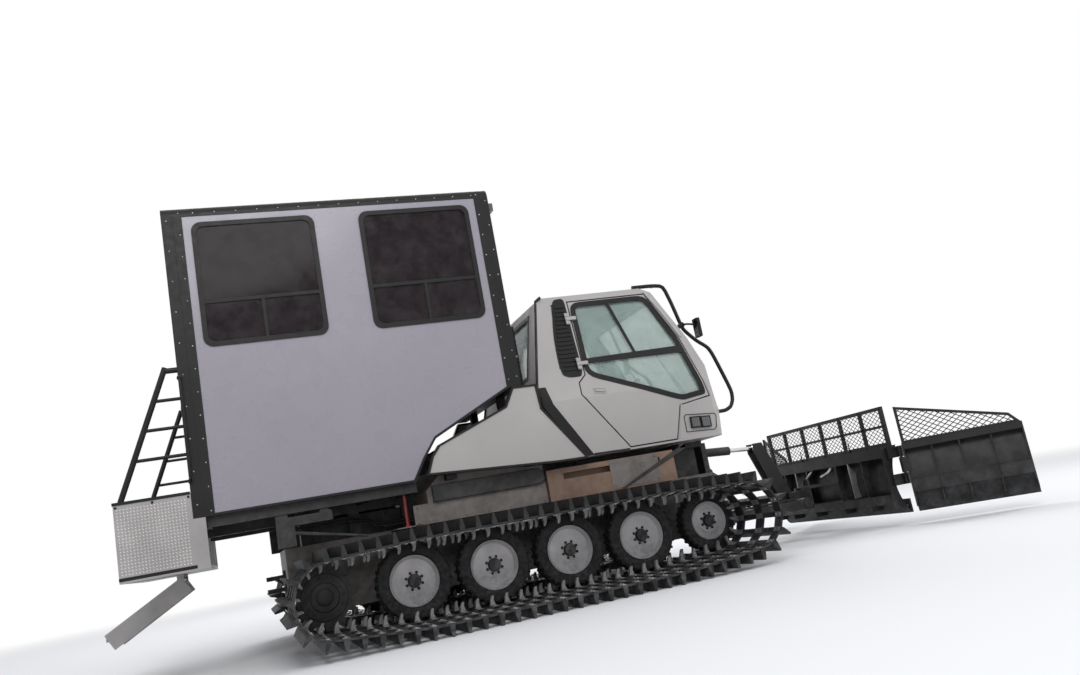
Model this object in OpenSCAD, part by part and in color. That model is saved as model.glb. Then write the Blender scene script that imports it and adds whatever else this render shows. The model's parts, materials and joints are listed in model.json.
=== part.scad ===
/* [Running gear] */
// Distance between two road wheels
wheel_pitch = 760; // [720:5:800]
// Outside diameter of a road tyre
tyre_d = 700; // [640:5:720]
// Width of a road tyre
tyre_w = 180; // [150:5:190]
// Diameter of a rim
rim_d = 460; // [400:5:480]
// Height of the wheel hubs above the ground
hub_z = 460; // [440:5:480]
// Distance from the sprocket to the first road wheel
sprocket_gap = 800; // [780:5:840]
// Height of the sprocket and of the front idler
idler_z = 472; // [455:1:490]
// Outside diameter of the front idler's tyre
idler_d = 600; // [560:5:620]
// Number of crossbars on a track
bar_count = 68; // [60:1:76]
// Thickness of a track belt
belt_t = 15; // [10:1:20]
// Distance from a track's inner edge to the middle of the machine
track_in = 740; // [720:5:760]
// Distance from a track's outer edge to the middle of the machine
track_out = 2100; // [2060:5:2140]

/* [Hull] */
// Half the width of the hull between the tracks
hull_half = 640; // [600:5:660]
// Height of the hull's deck
hull_top = 950; // [940:5:980]
// Thickness of the hull's plates
hull_plate = 12; // [8:1:16]

/* [Passenger cabin] */
// Height of the cabin's top above the ground
cabin_top = 4190; // [4000:10:4250]
// Height of the cabin's underside
cabin_z = 1335; // [1320:5:1360]
// Half the width of the cabin
cabin_half = 1200; // [1150:5:1250]
// Distance from the sprocket to the cabin's rear wall
cabin_back = 1000; // [950:5:1050]
// Distance from the sprocket to the cabin's front wall
cabin_front = 2130; // [2100:5:2150]
// Thickness of a cabin wall
cabin_wall = 40; // [30:1:50]
// Radius of the cabin's outer edges
cabin_round = 100; // [70:5:120]

/* [Driver's cab] */
// Height of the cab's roof above the ground
cab_top = 3040; // [3000:5:3080]
// Half the width of the cab at its waist
cab_half = 1150; // [1100:5:1180]
// Thickness of the cab's walls and doors
cab_wall = 45; // [35:1:55]
// Gap around a door
door_gap = 14; // [12:1:18]

/* [Blade] */
// Half the width of the blade's middle part
blade_half = 1200; // [1100:10:1250]
// Length of a wing
wing_l = 1250; // [1150:10:1300]
// Height of the mouldboard's bottom edge
blade_z = 130; // [110:5:160]
// Height of the mouldboard
blade_h = 750; // [700:10:780]
// Angle at which the wings are folded forward
wing_fold = 45; // [35:1:50]

/* [Hidden] */
$fn = 48;

touch = 0.3;
pin_gap = 0.3;
blade_x = 6270;
// Steps: hinge under the landing and foot, as length and height
steps_hinge = [-1200, 850];
steps_foot = [-1870, 470];
steps_slope = atan2(steps_hinge[1] - steps_foot[1], steps_hinge[0] - steps_foot[0]);
steps_back = -steps_foot[0] + 20 * sin(steps_slope);
// Wing hinge: length and distance from the middle
wing_hinge = [blade_x + 40, blade_half + 45];
hinge_clear = 45;
hinge_pin_d = 30;
cutting_h = 150;
cutting_t = 22;
cutting_x = blade_x + 34;
nose_x = wing_hinge[0] + wing_l * sin(wing_fold) + (cutting_x + cutting_t - wing_hinge[0]) * cos(wing_fold);
// The frame's origin is midway between the steps' foot and the wings' tips
mid_x = (nose_x - steps_back) / 2;

tyre_r = tyre_d / 2;
idler_r = idler_d / 2;
sprocket_r = 300;
bar_h = hub_z - tyre_r;
wheel_y = 1130;
first_x = sprocket_gap;
last_x = first_x + 3 * wheel_pitch;
idler_x = last_x + wheel_pitch;
wheel_xs = [for (i = [0:3]) first_x + i * wheel_pitch];

// Draws in the machine's own lengths, which start at the sprocket
module placed() {
    translate([-mid_x, 0, 0]) children();
}

// Repeats the right side's pieces on the left
module both_sides() {
    children();
    mirror([0, 1, 0]) children();
}

// Extrudes an outline of lengths and heights from y0 to y1
module side_form(y0, y1) {
    translate([0, y1, 0]) rotate([90, 0, 0]) linear_extrude(y1 - y0) children();
}

// Extrudes an outline of widths and heights from x0 to x1
module front_form(x0, x1) {
    translate([x0, 0, 0]) rotate([90, 0, 90]) linear_extrude(x1 - x0) children();
}

// Box between two corners
module block(low, high) {
    translate(low) cube(high - low);
}

// Round bar between two points
module bar(from, to, d) {
    v = to - from;
    l = norm(v);
    translate(from) rotate([0, acos(v[2] / l), atan2(v[1], v[0])]) cylinder(h = l, d = d);
}

// Round bar across the machine
module cross_pin(x, z, y0, y1, d) {
    translate([x, y1, z]) rotate([90, 0, 0]) cylinder(h = y1 - y0, d = d);
}

// Rectangle with round corners
module round_rect(low, high, r) {
    translate([low[0] + r, low[1]]) square([high[0] - low[0] - 2 * r, high[1] - low[1]]);
    translate([low[0], low[1] + r]) square([high[0] - low[0], high[1] - low[1] - 2 * r]);
    for (x = [low[0] + r, high[0] - r], y = [low[1] + r, high[1] - r]) translate([x, y]) circle(r);
}

function unit(v) = v / norm(v);
function inward(p, q) = let (t = unit(q - p)) [-t[1], t[0]];
// Moves each edge of an anticlockwise outline inward by d
function shrink(pts, d) = let (n = len(pts)) [
    for (i = [0:n - 1])
        let (a = inward(pts[(i + n - 1) % n], pts[i]), b = inward(pts[i], pts[(i + 1) % n]))
            pts[i] + d * (a + b) / (1 + a * b)
];

// Wheels that the track runs round, in order: length, height, radius
loop_wheels = [[0, idler_z, sprocket_r], [first_x, hub_z, tyre_r], [last_x, hub_z, tyre_r],
    [idler_x, idler_z, idler_r], [last_x, hub_z, tyre_r], [first_x, hub_z, tyre_r]];
loop_n = len(loop_wheels);
function loop_wheel(i) = loop_wheels[(i + loop_n) % loop_n];
function span(i) = norm([loop_wheel(i + 1)[0] - loop_wheel(i)[0], loop_wheel(i + 1)[1] - loop_wheel(i)[1]]);
function span_heading(i) = atan2(loop_wheel(i + 1)[1] - loop_wheel(i)[1], loop_wheel(i + 1)[0] - loop_wheel(i)[0]);
// Outward angle of the straight that leaves wheel i
function straight_angle(i) = span_heading(i) - acos((loop_wheel(i)[2] - loop_wheel(i + 1)[2]) / span(i));
function straight_l(i) = sqrt(pow(span(i), 2) - pow(loop_wheel(i)[2] - loop_wheel(i + 1)[2], 2));
function turn(i) = (straight_angle(i) - straight_angle(i - 1) + 720) % 360;
function turn_l(i) = turn(i) * PI / 180 * loop_wheel(i)[2];
function loop_start(i) = i == 0 ? 0 : loop_start(i - 1) + turn_l(i - 1) + straight_l(i - 1);
loop_l = loop_start(loop_n);
bar_pitch = loop_l / bar_count;

// Point of the loop at length s, as [x, z, outward angle]
function loop_at(s, i = 0) =
    s >= loop_start(i + 1) ? loop_at(s, i + 1)
    : let (w = loop_wheel(i), a0 = straight_angle(i - 1), u = s - loop_start(i))
        u < turn_l(i)
            ? let (a = a0 + u / w[2] * 180 / PI) [w[0] + w[2] * cos(a), w[1] + w[2] * sin(a), a]
            : let (a = straight_angle(i), v = u - turn_l(i))
                [w[0] + w[2] * cos(a) - v * sin(a), w[1] + w[2] * sin(a) + v * cos(a), a];

// Belts of a track: inner edge and width, from the machine's middle
bar_end = 12;
belts = [[track_out - bar_end - 120, 120], [track_out - 480, 140], [1240, 150], [880, 140],
    [track_in + bar_end, 60]];
belt_lift = 4;
bar_tip = 16;
bar_foot = 46;

// Loop of the belts or of the bars, at a height above the wheels' treads
function loop_ring(h) = [for (i = [0:bar_count - 1])
    let (p = loop_at(i * bar_pitch)) [p[0] + h * cos(p[2]), p[1] + h * sin(p[2])]];

module belt_section() {
    difference() {
        polygon(loop_ring(touch + belt_lift + belt_t));
        polygon(loop_ring(touch + belt_lift));
    }
}

module bar_section() {
    for (i = [0:bar_count - 1]) {
        p = loop_at(i * bar_pitch);
        translate([p[0], p[1]]) rotate(p[2]) polygon([
            [touch, -bar_foot / 2], [belt_t + 22, -bar_foot / 2], [bar_h, -bar_tip / 2],
            [bar_h, bar_tip / 2], [belt_t + 22, bar_foot / 2], [touch, bar_foot / 2]]);
    }
}

module track() {
    union() {
        for (b = belts) side_form(b[0], b[0] + b[1]) belt_section();
        side_form(track_in, track_out) bar_section();
    }
}

module track_left() {
    color("#2a2a2c") placed() track();
}

module track_right() {
    color("#2a2a2c") placed() mirror([0, 1, 0]) track();
}

// Wheel standing across the machine, with its middle at y
module at_wheel(x, z, y = wheel_y) {
    translate([x, y, z]) rotate([90, 0, 0]) children();
}

module tyre(r, bore, w) {
    shoulder = 22;
    rotate_extrude($fn = 32) polygon([[bore, -w / 2 + 8], [r - shoulder, -w / 2], [r, -w / 2 + shoulder],
        [r, w / 2 - shoulder], [r - shoulder, w / 2], [bore, w / 2 - 8]]);
}

module tyres() {
    color("#1b1b1c") placed() both_sides() {
        for (x = wheel_xs) at_wheel(x, hub_z) tyre(tyre_r, rim_d / 2, tyre_w);
        at_wheel(idler_x, idler_z) tyre(idler_r, rim_d / 2 - 40, tyre_w);
    }
}

hub_d = 110;
module rim(r, w) {
    dish = 30;
    translate([0, 0, -w / 2]) difference() {
        cylinder(h = w, r = r - touch);
        translate([0, 0, dish + 14]) cylinder(h = w, r = r - 18);
        translate([0, 0, -1]) cylinder(h = dish + 1, r = r - 18);
        translate([0, 0, -1]) cylinder(h = w, d = hub_d);
    }
}

module rims() {
    color("#c9c9c8") placed() both_sides() {
        for (x = wheel_xs) at_wheel(x, hub_z) mirror([0, 0, 1]) rim(rim_d / 2, tyre_w - 20);
        at_wheel(idler_x, idler_z) mirror([0, 0, 1]) rim(rim_d / 2 - 40, tyre_w - 20);
    }
}

axle_tips = concat([for (x = wheel_xs) [x, hub_z]], [[idler_x, idler_z]]);
module wheel_axles() {
    color("#26262a") placed() both_sides() for (p = axle_tips) {
        cross_pin(p[0], p[1], hull_half, wheel_y + tyre_w / 2 + 6, hub_d - 0.6);
    }
}

module final_drives() {
    color("#2e2e30") placed() both_sides() {
        cross_pin(0, idler_z, hull_half, 900, 330);
        cross_pin(0, idler_z, 900, 1200, 150);
    }
}

sprocket_teeth = 12;
module sprocket_disc(w) {
    linear_extrude(w, center = true) difference() {
        union() {
            circle(sprocket_r - 60);
            for (i = [0:sprocket_teeth - 1]) rotate(i * 360 / sprocket_teeth)
                polygon([[sprocket_r - 80, -40], [sprocket_r - 10, -18], [sprocket_r - 10, 18], [sprocket_r - 80, 40]]);
        }
        circle(75 + touch);
    }
}

module sprockets() {
    color("#333336") placed() both_sides() {
        for (y = [960, 1060, 1160]) at_wheel(0, idler_z, y) sprocket_disc(20);
    }
}

// Hull: a tub between the tracks, closed by its deck outside the engine bay
hull_back = -260;
hull_nose = 4300;
hull_floor = 320;
bay_back = 1060;
bay_front = 2240;
hull_outline = [[hull_back, 480], [-100, hull_floor], [4060, hull_floor], [hull_nose, 520],
    [hull_nose, hull_top], [hull_back, hull_top]];
module hull() {
    color("#4b4744") placed() difference() {
        side_form(-hull_half, hull_half) polygon(hull_outline);
        side_form(-hull_half + hull_plate, hull_half - hull_plate) polygon(shrink(hull_outline, hull_plate));
        block([bay_back, -hull_half + hull_plate, hull_top - 50], [bay_front, hull_half - hull_plate, hull_top + 1]);
    }
}

module engine_block() {
    color("#3a3b3d") placed()
        block([1300, -400, hull_floor + hull_plate], [2140, 400, 1400]);
}

hood_half = 1060;
hood_outline = [[bay_back, hull_top], [bay_front, hull_top], [bay_front, 1740], [2100, 1740],
    [1330, 1500], [bay_back, 1240]];
module engine_hood() {
    color("#3b3a39") placed() difference() {
        side_form(-hood_half, hood_half) polygon(hood_outline);
        side_form(-hood_half + 10, hood_half - 10) polygon(shrink(hood_outline, 10));
        block([bay_back + 10, -hull_half, hull_top - 1], [bay_front - 10, hull_half, hull_top + 20]);
    }
}

beam_y = 520;
beam_w = 80;
module deck_frame() {
    color("#202022") placed() {
        both_sides() {
            block([-cabin_back + 20, beam_y - beam_w / 2, 1180], [1000, beam_y + beam_w / 2, cabin_z]);
            for (x = [-160, 420, 940]) block([x - 50, beam_y - beam_w / 2, hull_top], [x + 50, beam_y + beam_w / 2, 1181]);
            for (x = [-900, -100, 500, 900]) block([x - 40, beam_y, 1245], [x + 40, 1140, cabin_z]);
            block([-cabin_back + 20, 1100, 1245], [960, 1140, cabin_z]);
            block([2030, 560, 1740], [2110, 640, 2100]);
        }
        for (x = [-900, -100, 500, 900]) block([x - 40, -beam_y, 1245], [x + 40, beam_y, cabin_z - 20]);
    }
}

tank_z = 936;
module side_tanks() {
    color("#8a7257") placed() both_sides() {
        difference() {
            block([2250, hull_half, tank_z], [3640, 1120, 1240]);
            block([2420, 1020, 1130], [3480, 1121, 1190]);
        }
        block([bay_back - 80, hull_half, tank_z], [2070, 1055, 1090 - 145]);
    }
}

pod_half = 1250;
pod_outline = [[1054, 1373], [2340, 1296], [2675, 1290], [2282, 1844], [2264, 2090], [2015, 2092],
    [1915, 1914], [1207, 1642], [1125, 1545]];
pod_t = 60;
module side_pods() {
    color("#a9a59e") placed() both_sides()
        side_form(pod_half - pod_t, pod_half) polygon(shrink(pod_outline, 20));
}

module pod_trim() {
    color("#19191a") placed() both_sides() {
        side_form(pod_half - pod_t - 10, pod_half + 8) difference() {
            polygon(pod_outline);
            polygon(shrink(pod_outline, 20));
        }
        block([1250, hood_half, 1310], [1350, pod_half - pod_t - 10, 1365]);
        block([2050, hood_half, 1310], [2150, pod_half - pod_t - 10, 1340]);
    }
}

module exhaust_stack() {
    color("#1c1c1d") placed() difference() {
        translate([2240, -800, 1740]) cylinder(h = 1060, d = 90);
        translate([2240, -800, 2500]) cylinder(h = 400, d = 78);
    }
}

// Driver's cab: a side outline, a front outline and a plan, all met in one form
cab_side = [[2710, 1310], [4310, 1310], [4400, 1595], [4368, 1640], [4280, 1895], [4115, 2400],
    [3850, 2965], [3760, cab_top], [2600, cab_top], [2540, 3000], [2330, 2060], [2353, 1868]];
cab_face = [[-1120, 1290], [1120, 1290], [cab_half, 1900], [960, 2960], [880, cab_top + 1],
    [-880, cab_top + 1], [-960, 2960], [-cab_half, 1900]];
cab_plan = [[2300, -cab_half - 1], [4200, -cab_half - 1], [4401, -900], [4401, 900],
    [4200, cab_half + 1], [2300, cab_half + 1]];
module cab_form(d) {
    intersection() {
        side_form(-cab_half - 2, cab_half + 2) polygon(shrink(cab_side, d));
        front_form(2200, 4500) polygon(shrink(cab_face, d));
        translate([0, 0, 1200]) linear_extrude(2000) polygon(shrink(cab_plan, d));
    }
}

door_opening = [[3190, 1330], [3735, 1330], [3836, 1675], [4200, 1730], [4035, 2385], [3770, 2960],
    [2860, 2960], [2850, 2140], [2765, 2064], [2759, 1930]];
door_window = [[2895, 2150], [3868, 1760], [4120, 1790], [3980, 2385], [3740, 2905], [2915, 2905]];
window_bar = [[2800, 2255], [4200, 2255], [4200, 2305], [2800, 2305]];
windscreen = [[-820, 1680], [820, 1680], [800, 2900], [-800, 2900]];
rear_window = [[-700, 2250], [700, 2250], [650, 2880], [-650, 2880]];
quarter_window = [[2600, 2230], [2800, 2140], [2790, 2940], [2680, 2940]];

// Door hinges: a line that leans with the cab's side, and the heights of its two hinges
cab_lean = atan2(cab_half - 960, 2960 - 1900);
door_hinge_x = 2800;
door_hinge_out = 30;
door_hinge_z = [2260, 2760];
knuckle_d = 24;
knuckle_pin_d = 12;
knuckle_l = 36;
knuckle_gap = 6;
module at_door_hinges() {
    for (z = door_hinge_z) translate([door_hinge_x, -cab_half - door_hinge_out + (z - 1900) * tan(cab_lean), z])
        rotate([-cab_lean, 0, 0]) children();
}

// Fixed half of a hinge about its own upright axis: two knuckles with leaves, and the pin
module hinge_fixed(low, high) {
    for (z = [-knuckle_l * 1.5 - knuckle_gap, knuckle_l / 2 + knuckle_gap]) translate([0, 0, z]) {
        cylinder(h = knuckle_l, d = knuckle_d);
        block([low[0], low[1], 0], [high[0], high[1], knuckle_l]);
    }
    translate([0, 0, -knuckle_l]) cylinder(h = 2 * knuckle_l, d = knuckle_pin_d - 2 * pin_gap);
}

module cab_panes() {
    front_form(3700, 4600) polygon(windscreen);
    front_form(2200, 2700) polygon(rear_window);
    side_form(-1300, 1300) polygon(quarter_window);
}

module cab_shell() {
    color("#b3afa8") placed() {
        difference() {
            cab_form(0);
            cab_form(cab_wall);
            both_sides() side_form(-1300, -700) polygon(door_opening);
            cab_panes();
        }
        both_sides() at_door_hinges() hinge_fixed([0, 0], [34, door_hinge_out + 5]);
    }
}

glass_t = 6;
module pane_sheet() {
    difference() {
        cab_form(cab_wall / 2 - glass_t / 2);
        cab_form(cab_wall / 2 + glass_t / 2);
    }
}

module cab_glass() {
    color("#8fa39a") placed() intersection() {
        pane_sheet();
        cab_panes();
    }
}

// Side walls alone, without the floor and the nose
module cab_side_wall() {
    intersection() {
        cab_form(0);
        front_form(2200, 4500) difference() {
            polygon(cab_face);
            polygon(shrink(cab_face, cab_wall));
        }
    }
}

module cab_door() {
    at_door_hinges() difference() {
        union() {
            translate([0, 0, -knuckle_l / 2]) cylinder(h = knuckle_l, d = knuckle_d);
            block([0, -6, -knuckle_l / 2], [110, 6, knuckle_l / 2]);
            block([84, -6, -knuckle_l / 2], [110, door_hinge_out + 5, knuckle_l / 2]);
        }
        translate([0, 0, -knuckle_l]) cylinder(h = 2 * knuckle_l, d = knuckle_pin_d);
    }
    intersection() {
        cab_side_wall();
        side_form(-1300, 0) difference() {
            polygon(shrink(door_opening, door_gap));
            difference() {
                polygon(door_window);
                polygon(window_bar);
            }
        }
    }
}

module door_glass() {
    intersection() {
        pane_sheet();
        side_form(-1300, 0) difference() {
            polygon(door_window);
            polygon(window_bar);
        }
    }
}

module cab_door_right() {
    color("#b3afa8") placed() cab_door();
}

module cab_door_left() {
    color("#b3afa8") placed() mirror([0, 1, 0]) cab_door();
}

module door_glass_right() {
    color("#8fa39a") placed() door_glass();
}

module door_glass_left() {
    color("#8fa39a") placed() mirror([0, 1, 0]) door_glass();
}

// Underframe of the cab, from the hull's deck to the cab's floor
cab_floor_z = cab_side[0][1] + cab_wall;
mat_t = 20;
module cab_floor() {
    color("#2b2b2d") placed() {
        both_sides() block([2800, 420, hull_top], [4200, 520, 1290]);
        block([2760, -630, 1250], [4250, 630, cab_side[0][1]]);
        block([2900, -1000, cab_floor_z], [4180, 1000, cab_floor_z + mat_t]);
        block([4000, -800, cab_floor_z + mat_t], [4200, 800, 1560]);
    }
}

module seat() {
    block([-250, -240, cab_floor_z + mat_t + touch], [230, 240, 1640]);
    translate([-250, 0, 1640 + touch]) rotate([0, -8, 0]) translate([0, -230, 0]) cube([110, 460, 620]);
}

module cab_seats() {
    color("#2d2f33") placed() {
        translate([3150, 0, 0]) seat();
        translate([3150, 560, 0]) seat();
    }
}

module lamps() {
    color("#d9d9d4") placed() {
        both_sides() {
            cross_pin(3960, 1480, cab_half - 16, cab_half + 4, 90);
            cross_pin(4080, 1470, cab_half - 16, cab_half + 4, 90);
            block([cabin_front, 1040, 3960], [cabin_front + 60, 1140, 4040]);
            block([-cabin_back + 10, 900, 1245], [-cabin_back + 60, 1060, 1320]);
        }
    }
}

rail_d = 42;
// Guard rail along the windscreen: points down from the roof
rail_top = cab_top + rail_d / 2 + touch;
rail_points = [[3700, -800, rail_top], [3920, -800, rail_top], [4215, -830, 2420], [4480, -850, 1700],
    [4480, -850, 1500], [4377, -850, 1500]];
module guard_rails() {
    color("#161617") placed() both_sides() {
        for (i = [0:len(rail_points) - 2]) bar(rail_points[i], rail_points[i + 1], rail_d);
        for (i = [1:len(rail_points) - 2]) translate(rail_points[i]) sphere(d = rail_d + 4);
    }
}

// Passenger cabin: its side outline steps up at the front over the engine
cabin_side = [[-cabin_back, cabin_z], [950, cabin_z], [1070, 1533], [1205, 1713], [2010, 2100],
    [cabin_front, 2100], [cabin_front, cabin_top], [-cabin_back, cabin_top]];
post_w = 180;
front_post_w = 148;
top_rail = 107;
panel_low = 22;
side_panel = [[-cabin_back + post_w, cabin_z + panel_low], [938, cabin_z + panel_low], [1052, 1545],
    [1192, 1731], [cabin_front - front_post_w, 2112], [cabin_front - front_post_w, cabin_top - top_rail],
    [-cabin_back + post_w, cabin_top - top_rail]];
frame_t = 50;

module cabin_form(d) {
    intersection() {
        side_form(-cabin_half - 1, cabin_half + 1) polygon(shrink(cabin_side, d));
        front_form(-cabin_back - 1, cabin_front + 1)
            round_rect([-cabin_half + d, cabin_z - 300], [cabin_half - d, cabin_top - d], cabin_round - d / 2);
    }
}

rear_panel = [[-1040, cabin_z + 60], [1040, cabin_top - 150]];
front_panel = [[-1040, 2160], [1040, cabin_top - 150]];
roof_panel = [[-cabin_back + 150, -1050], [cabin_front - 150, 1050]];
module cabin_frame() {
    color("#17171a") placed() difference() {
        cabin_form(0);
        cabin_form(frame_t);
        side_form(-1300, 1300) polygon(side_panel);
        block([-cabin_back - 10, rear_panel[0][0], rear_panel[0][1]], [0, rear_panel[1][0], rear_panel[1][1]]);
        block([1900, front_panel[0][0], front_panel[0][1]], [cabin_front + 10, front_panel[1][0], front_panel[1][1]]);
        translate([roof_panel[0][0], roof_panel[0][1], 4000])
            cube([roof_panel[1][0] - roof_panel[0][0], roof_panel[1][1] - roof_panel[0][1], 400]);
        block([-cabin_back + 60, -1100, cabin_z - 10], [900, 1100, cabin_z + 60]);
    }
}

// Windows of a cabin side: rear end and front end
side_windows = [[-752, 364], [787, 1903]];
window_z = [2830, 4020];
window_round = 90;
window_rim = 60;
door_half = 380;
door_z = [1410, 3420];

module window_shape(w, d) {
    round_rect([w[0] + d, window_z[0] + d], [w[1] - d, window_z[1] - d], window_round - d / 2);
}

// Rear door's hinges: distance behind the cabin, and heights
rear_hinge_out = 15;
rear_hinge_z = [1750, 3000];
module at_rear_hinges() {
    for (z = rear_hinge_z) translate([-cabin_back - rear_hinge_out, door_half, z]) children();
}

module cabin_walls() {
    color("#a5a2ab") placed() {
        at_rear_hinges() hinge_fixed([0, 2], [rear_hinge_out + 8, 40]);
        both_sides() side_form(-cabin_half + 5, -cabin_half + 5 + cabin_wall) difference() {
            polygon(side_panel);
            for (w = side_windows) window_shape(w, 20);
        }
        difference() {
            block([-cabin_back + 5, rear_panel[0][0], rear_panel[0][1]],
                [-cabin_back + 5 + cabin_wall, rear_panel[1][0], rear_panel[1][1]]);
            block([-cabin_back - 5, -door_half, door_z[0]], [-cabin_back + 100, door_half, door_z[1]]);
        }
        block([cabin_front - 5 - cabin_wall, front_panel[0][0], front_panel[0][1]],
            [cabin_front - 5, front_panel[1][0], front_panel[1][1]]);
    }
}

module cabin_roof() {
    color("#c9c9cc") placed()
        translate([roof_panel[0][0], roof_panel[0][1], cabin_top - 45])
            cube([roof_panel[1][0] - roof_panel[0][0], roof_panel[1][1] - roof_panel[0][1], 40]);
}

module cabin_floor() {
    color("#3c3a38") placed()
        block([-cabin_back + 60, -1100, cabin_z], [900, 1100, cabin_z + 55]);
}

module window_frames() {
    color("#111113") placed() both_sides() for (w = side_windows) {
        side_form(-cabin_half - 7, -cabin_half + 5) difference() {
            window_shape(w, 0);
            difference() {
                window_shape(w, window_rim - 15);
                translate([w[0], 3235]) square([w[1] - w[0], 34]);
                translate([(w[0] + w[1]) / 2 - 15, window_z[0]]) square([30, 3250 - window_z[0]]);
            }
        }
    }
}

module cabin_glass() {
    color("#3a3d42") placed() both_sides() for (w = side_windows) {
        side_form(-cabin_half + 5.3, -cabin_half + 11) window_shape(w, 20 + touch);
    }
}

module cabin_benches() {
    color("#3b3f47") placed() both_sides() {
        block([-800, -1100, cabin_z + 55], [860, -700, cabin_z + 470]);
        block([-800, -1130, cabin_z + 470], [860, -1040, cabin_z + 1000]);
    }
}

landing_back = 1620;
landing_z = 900;
steps_pin_d = 36;
module landing() {
    color("#b9b9b7") placed() {
        block([-landing_back, -cabin_half, landing_z], [-cabin_back + 100, cabin_half, landing_z + 30]);
        both_sides() {
            block([-landing_back, -cabin_half, landing_z + 20], [-cabin_back - touch, -cabin_half + 20, 1560]);
            block([-cabin_back - 20, -cabin_half, landing_z + 10], [-cabin_back + 100, -cabin_half + 20, cabin_z]);
            block([-cabin_back + 20, beam_y - beam_w / 2, landing_z + 20], [-cabin_back + 100, beam_y + beam_w / 2, 1180]);
            difference() {
                block([steps_hinge[0] - 30, 356, steps_hinge[1] - 30], [steps_hinge[0] + 30, 376, landing_z]);
                cross_pin(steps_hinge[0], steps_hinge[1], 350, 380, steps_pin_d);
            }
        }
    }
}

rack_d = 50;
module landing_rack() {
    color("#151516") placed() both_sides() {
        y = -cabin_half + 30;
        bar([-1560, y, 1570], [-1100, y, 2690], rack_d);
        bar([-1100, y, 2660], [-cabin_back, y, 2660], rack_d);
        for (z = [1900, 2150, 2400]) bar([-1560 + (z - 1560) * 0.407, y, z], [-cabin_back, y, z], 30);
    }
}

module hitch() {
    color("#2a2a2c") placed() difference() {
        union() {
            block([hull_back - 180, -90, 560], [hull_back, 90, 600]);
            block([hull_back - 180, -90, 680], [hull_back, 90, 720]);
            block([hull_back - 20, -140, 520], [hull_back, 140, 760]);
        }
        translate([hull_back - 110, 0, 500]) cylinder(h = 300, d = 40);
    }
}

module cabin_door() {
    color("#a5a2ab") placed() {
        difference() {
            block([-cabin_back + 5, -door_half + 8, door_z[0] + 8], [-cabin_back + 5 + cabin_wall, door_half - 8, door_z[1] - 8]);
            block([-cabin_back - 5, -230, 2700], [-cabin_back + 100, 230, 3250]);
        }
        at_rear_hinges() difference() {
            union() {
                translate([0, 0, -knuckle_l / 2]) cylinder(h = knuckle_l, d = knuckle_d);
                block([-6, -60, -knuckle_l / 2], [6, 0, knuckle_l / 2]);
                block([-6, -60, -knuckle_l / 2], [rear_hinge_out + 8, -20, knuckle_l / 2]);
            }
            translate([0, 0, -knuckle_l]) cylinder(h = 2 * knuckle_l, d = knuckle_pin_d);
        }
    }
}

// Steps: stringers and treads, hinged under the landing
module steps() {
    run = norm(steps_foot - steps_hinge);
    color("#8f8f8e") placed() {
        for (y = [-350, 330]) side_form(y, y + 20) translate(steps_hinge) rotate(180 + steps_slope)
            translate([-20, -20]) square([run + 20, 160]);
        for (u = [0.26, 0.57, 0.88]) {
            p = steps_hinge + (steps_foot - steps_hinge) * u;
            block([p[0] - 80, -330, p[1] - 90], [p[0] + 90, 330, p[1] - 60]);
        }
        cross_pin(steps_hinge[0], steps_hinge[1], -380, 380, steps_pin_d - 2 * pin_gap);
    }
}

// Blade linkage: the push frame lifts at its pivot, the head pitches at its front
push_pivot = [4370, 410];
head_pin = [5500, 410];
arm_y = 430;
arm_w = 100;
lug_gap = 6;
lug_t = 18;
push_pin_d = 50;
head_pin_d = 80;
lift_y = 250;
lift_top = [4440, 950];
lift_foot = [5050, 520];
pitch_back = [4440, 1200];
pitch_eye = [5270, 1146];
eye_w = 50;
eye_pin_d = 40;
lug_r = 55;

// Lug plate on each side of an eye at y, with its root at x_root or at z_root
module lug_pair(p, y, w, root) {
    for (side = [-1, 1]) {
        y0 = y + side * (w / 2 + lug_gap) + (side < 0 ? -lug_t : 0);
        difference() {
            union() {
                cross_pin(p[0], p[1], y0, y0 + lug_t, 2 * lug_r);
                side_form(y0, y0 + lug_t) polygon(root);
            }
        }
    }
}

module front_mounts() {
    color("#26262a") placed() {
        block([hull_nose, -500, 540], [hull_nose + 60, 500, 1285]);
        both_sides() {
            lug_pair(push_pivot, arm_y, arm_w, [[hull_nose, 355], [push_pivot[0], 355], [push_pivot[0], 465], [hull_nose, 465]]);
            cross_pin(push_pivot[0], push_pivot[1], arm_y - 80, arm_y + 80, push_pin_d - 2 * pin_gap);
            lug_pair(lift_top, lift_y, eye_w, [[hull_nose + 60, 890], [lift_top[0], 895], [lift_top[0], 1005], [hull_nose + 60, 1010]]);
            cross_pin(lift_top[0], lift_top[1], lift_y - 50, lift_y + 50, eye_pin_d - 2 * pin_gap);
        }
        lug_pair(pitch_back, 0, eye_w, [[hull_nose + 60, 1140], [pitch_back[0], 1145], [pitch_back[0], 1255], [hull_nose + 60, 1260]]);
        cross_pin(pitch_back[0], pitch_back[1], -50, 50, eye_pin_d - 2 * pin_gap);
    }
}

module push_frame() {
    color("#1d1d1f") placed() {
        both_sides() difference() {
            union() {
                block([push_pivot[0], arm_y - arm_w / 2, 355], [head_pin[0], arm_y + arm_w / 2, 465]);
                cross_pin(push_pivot[0], push_pivot[1], arm_y - arm_w / 2, arm_y + arm_w / 2, 120);
                cross_pin(head_pin[0], head_pin[1], arm_y - arm_w / 2, arm_y + arm_w / 2, 140);
            }
            cross_pin(push_pivot[0], push_pivot[1], arm_y - 60, arm_y + 60, push_pin_d);
            cross_pin(head_pin[0], head_pin[1], arm_y - 60, arm_y + 60, head_pin_d);
        }
        block([4980, -arm_y, 360], [5120, arm_y, 450]);
        both_sides() lug_pair(lift_foot, lift_y, eye_w, [[5000, 440], [5100, 440], [5105, 520], [4995, 520]]);
    }
}

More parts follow.
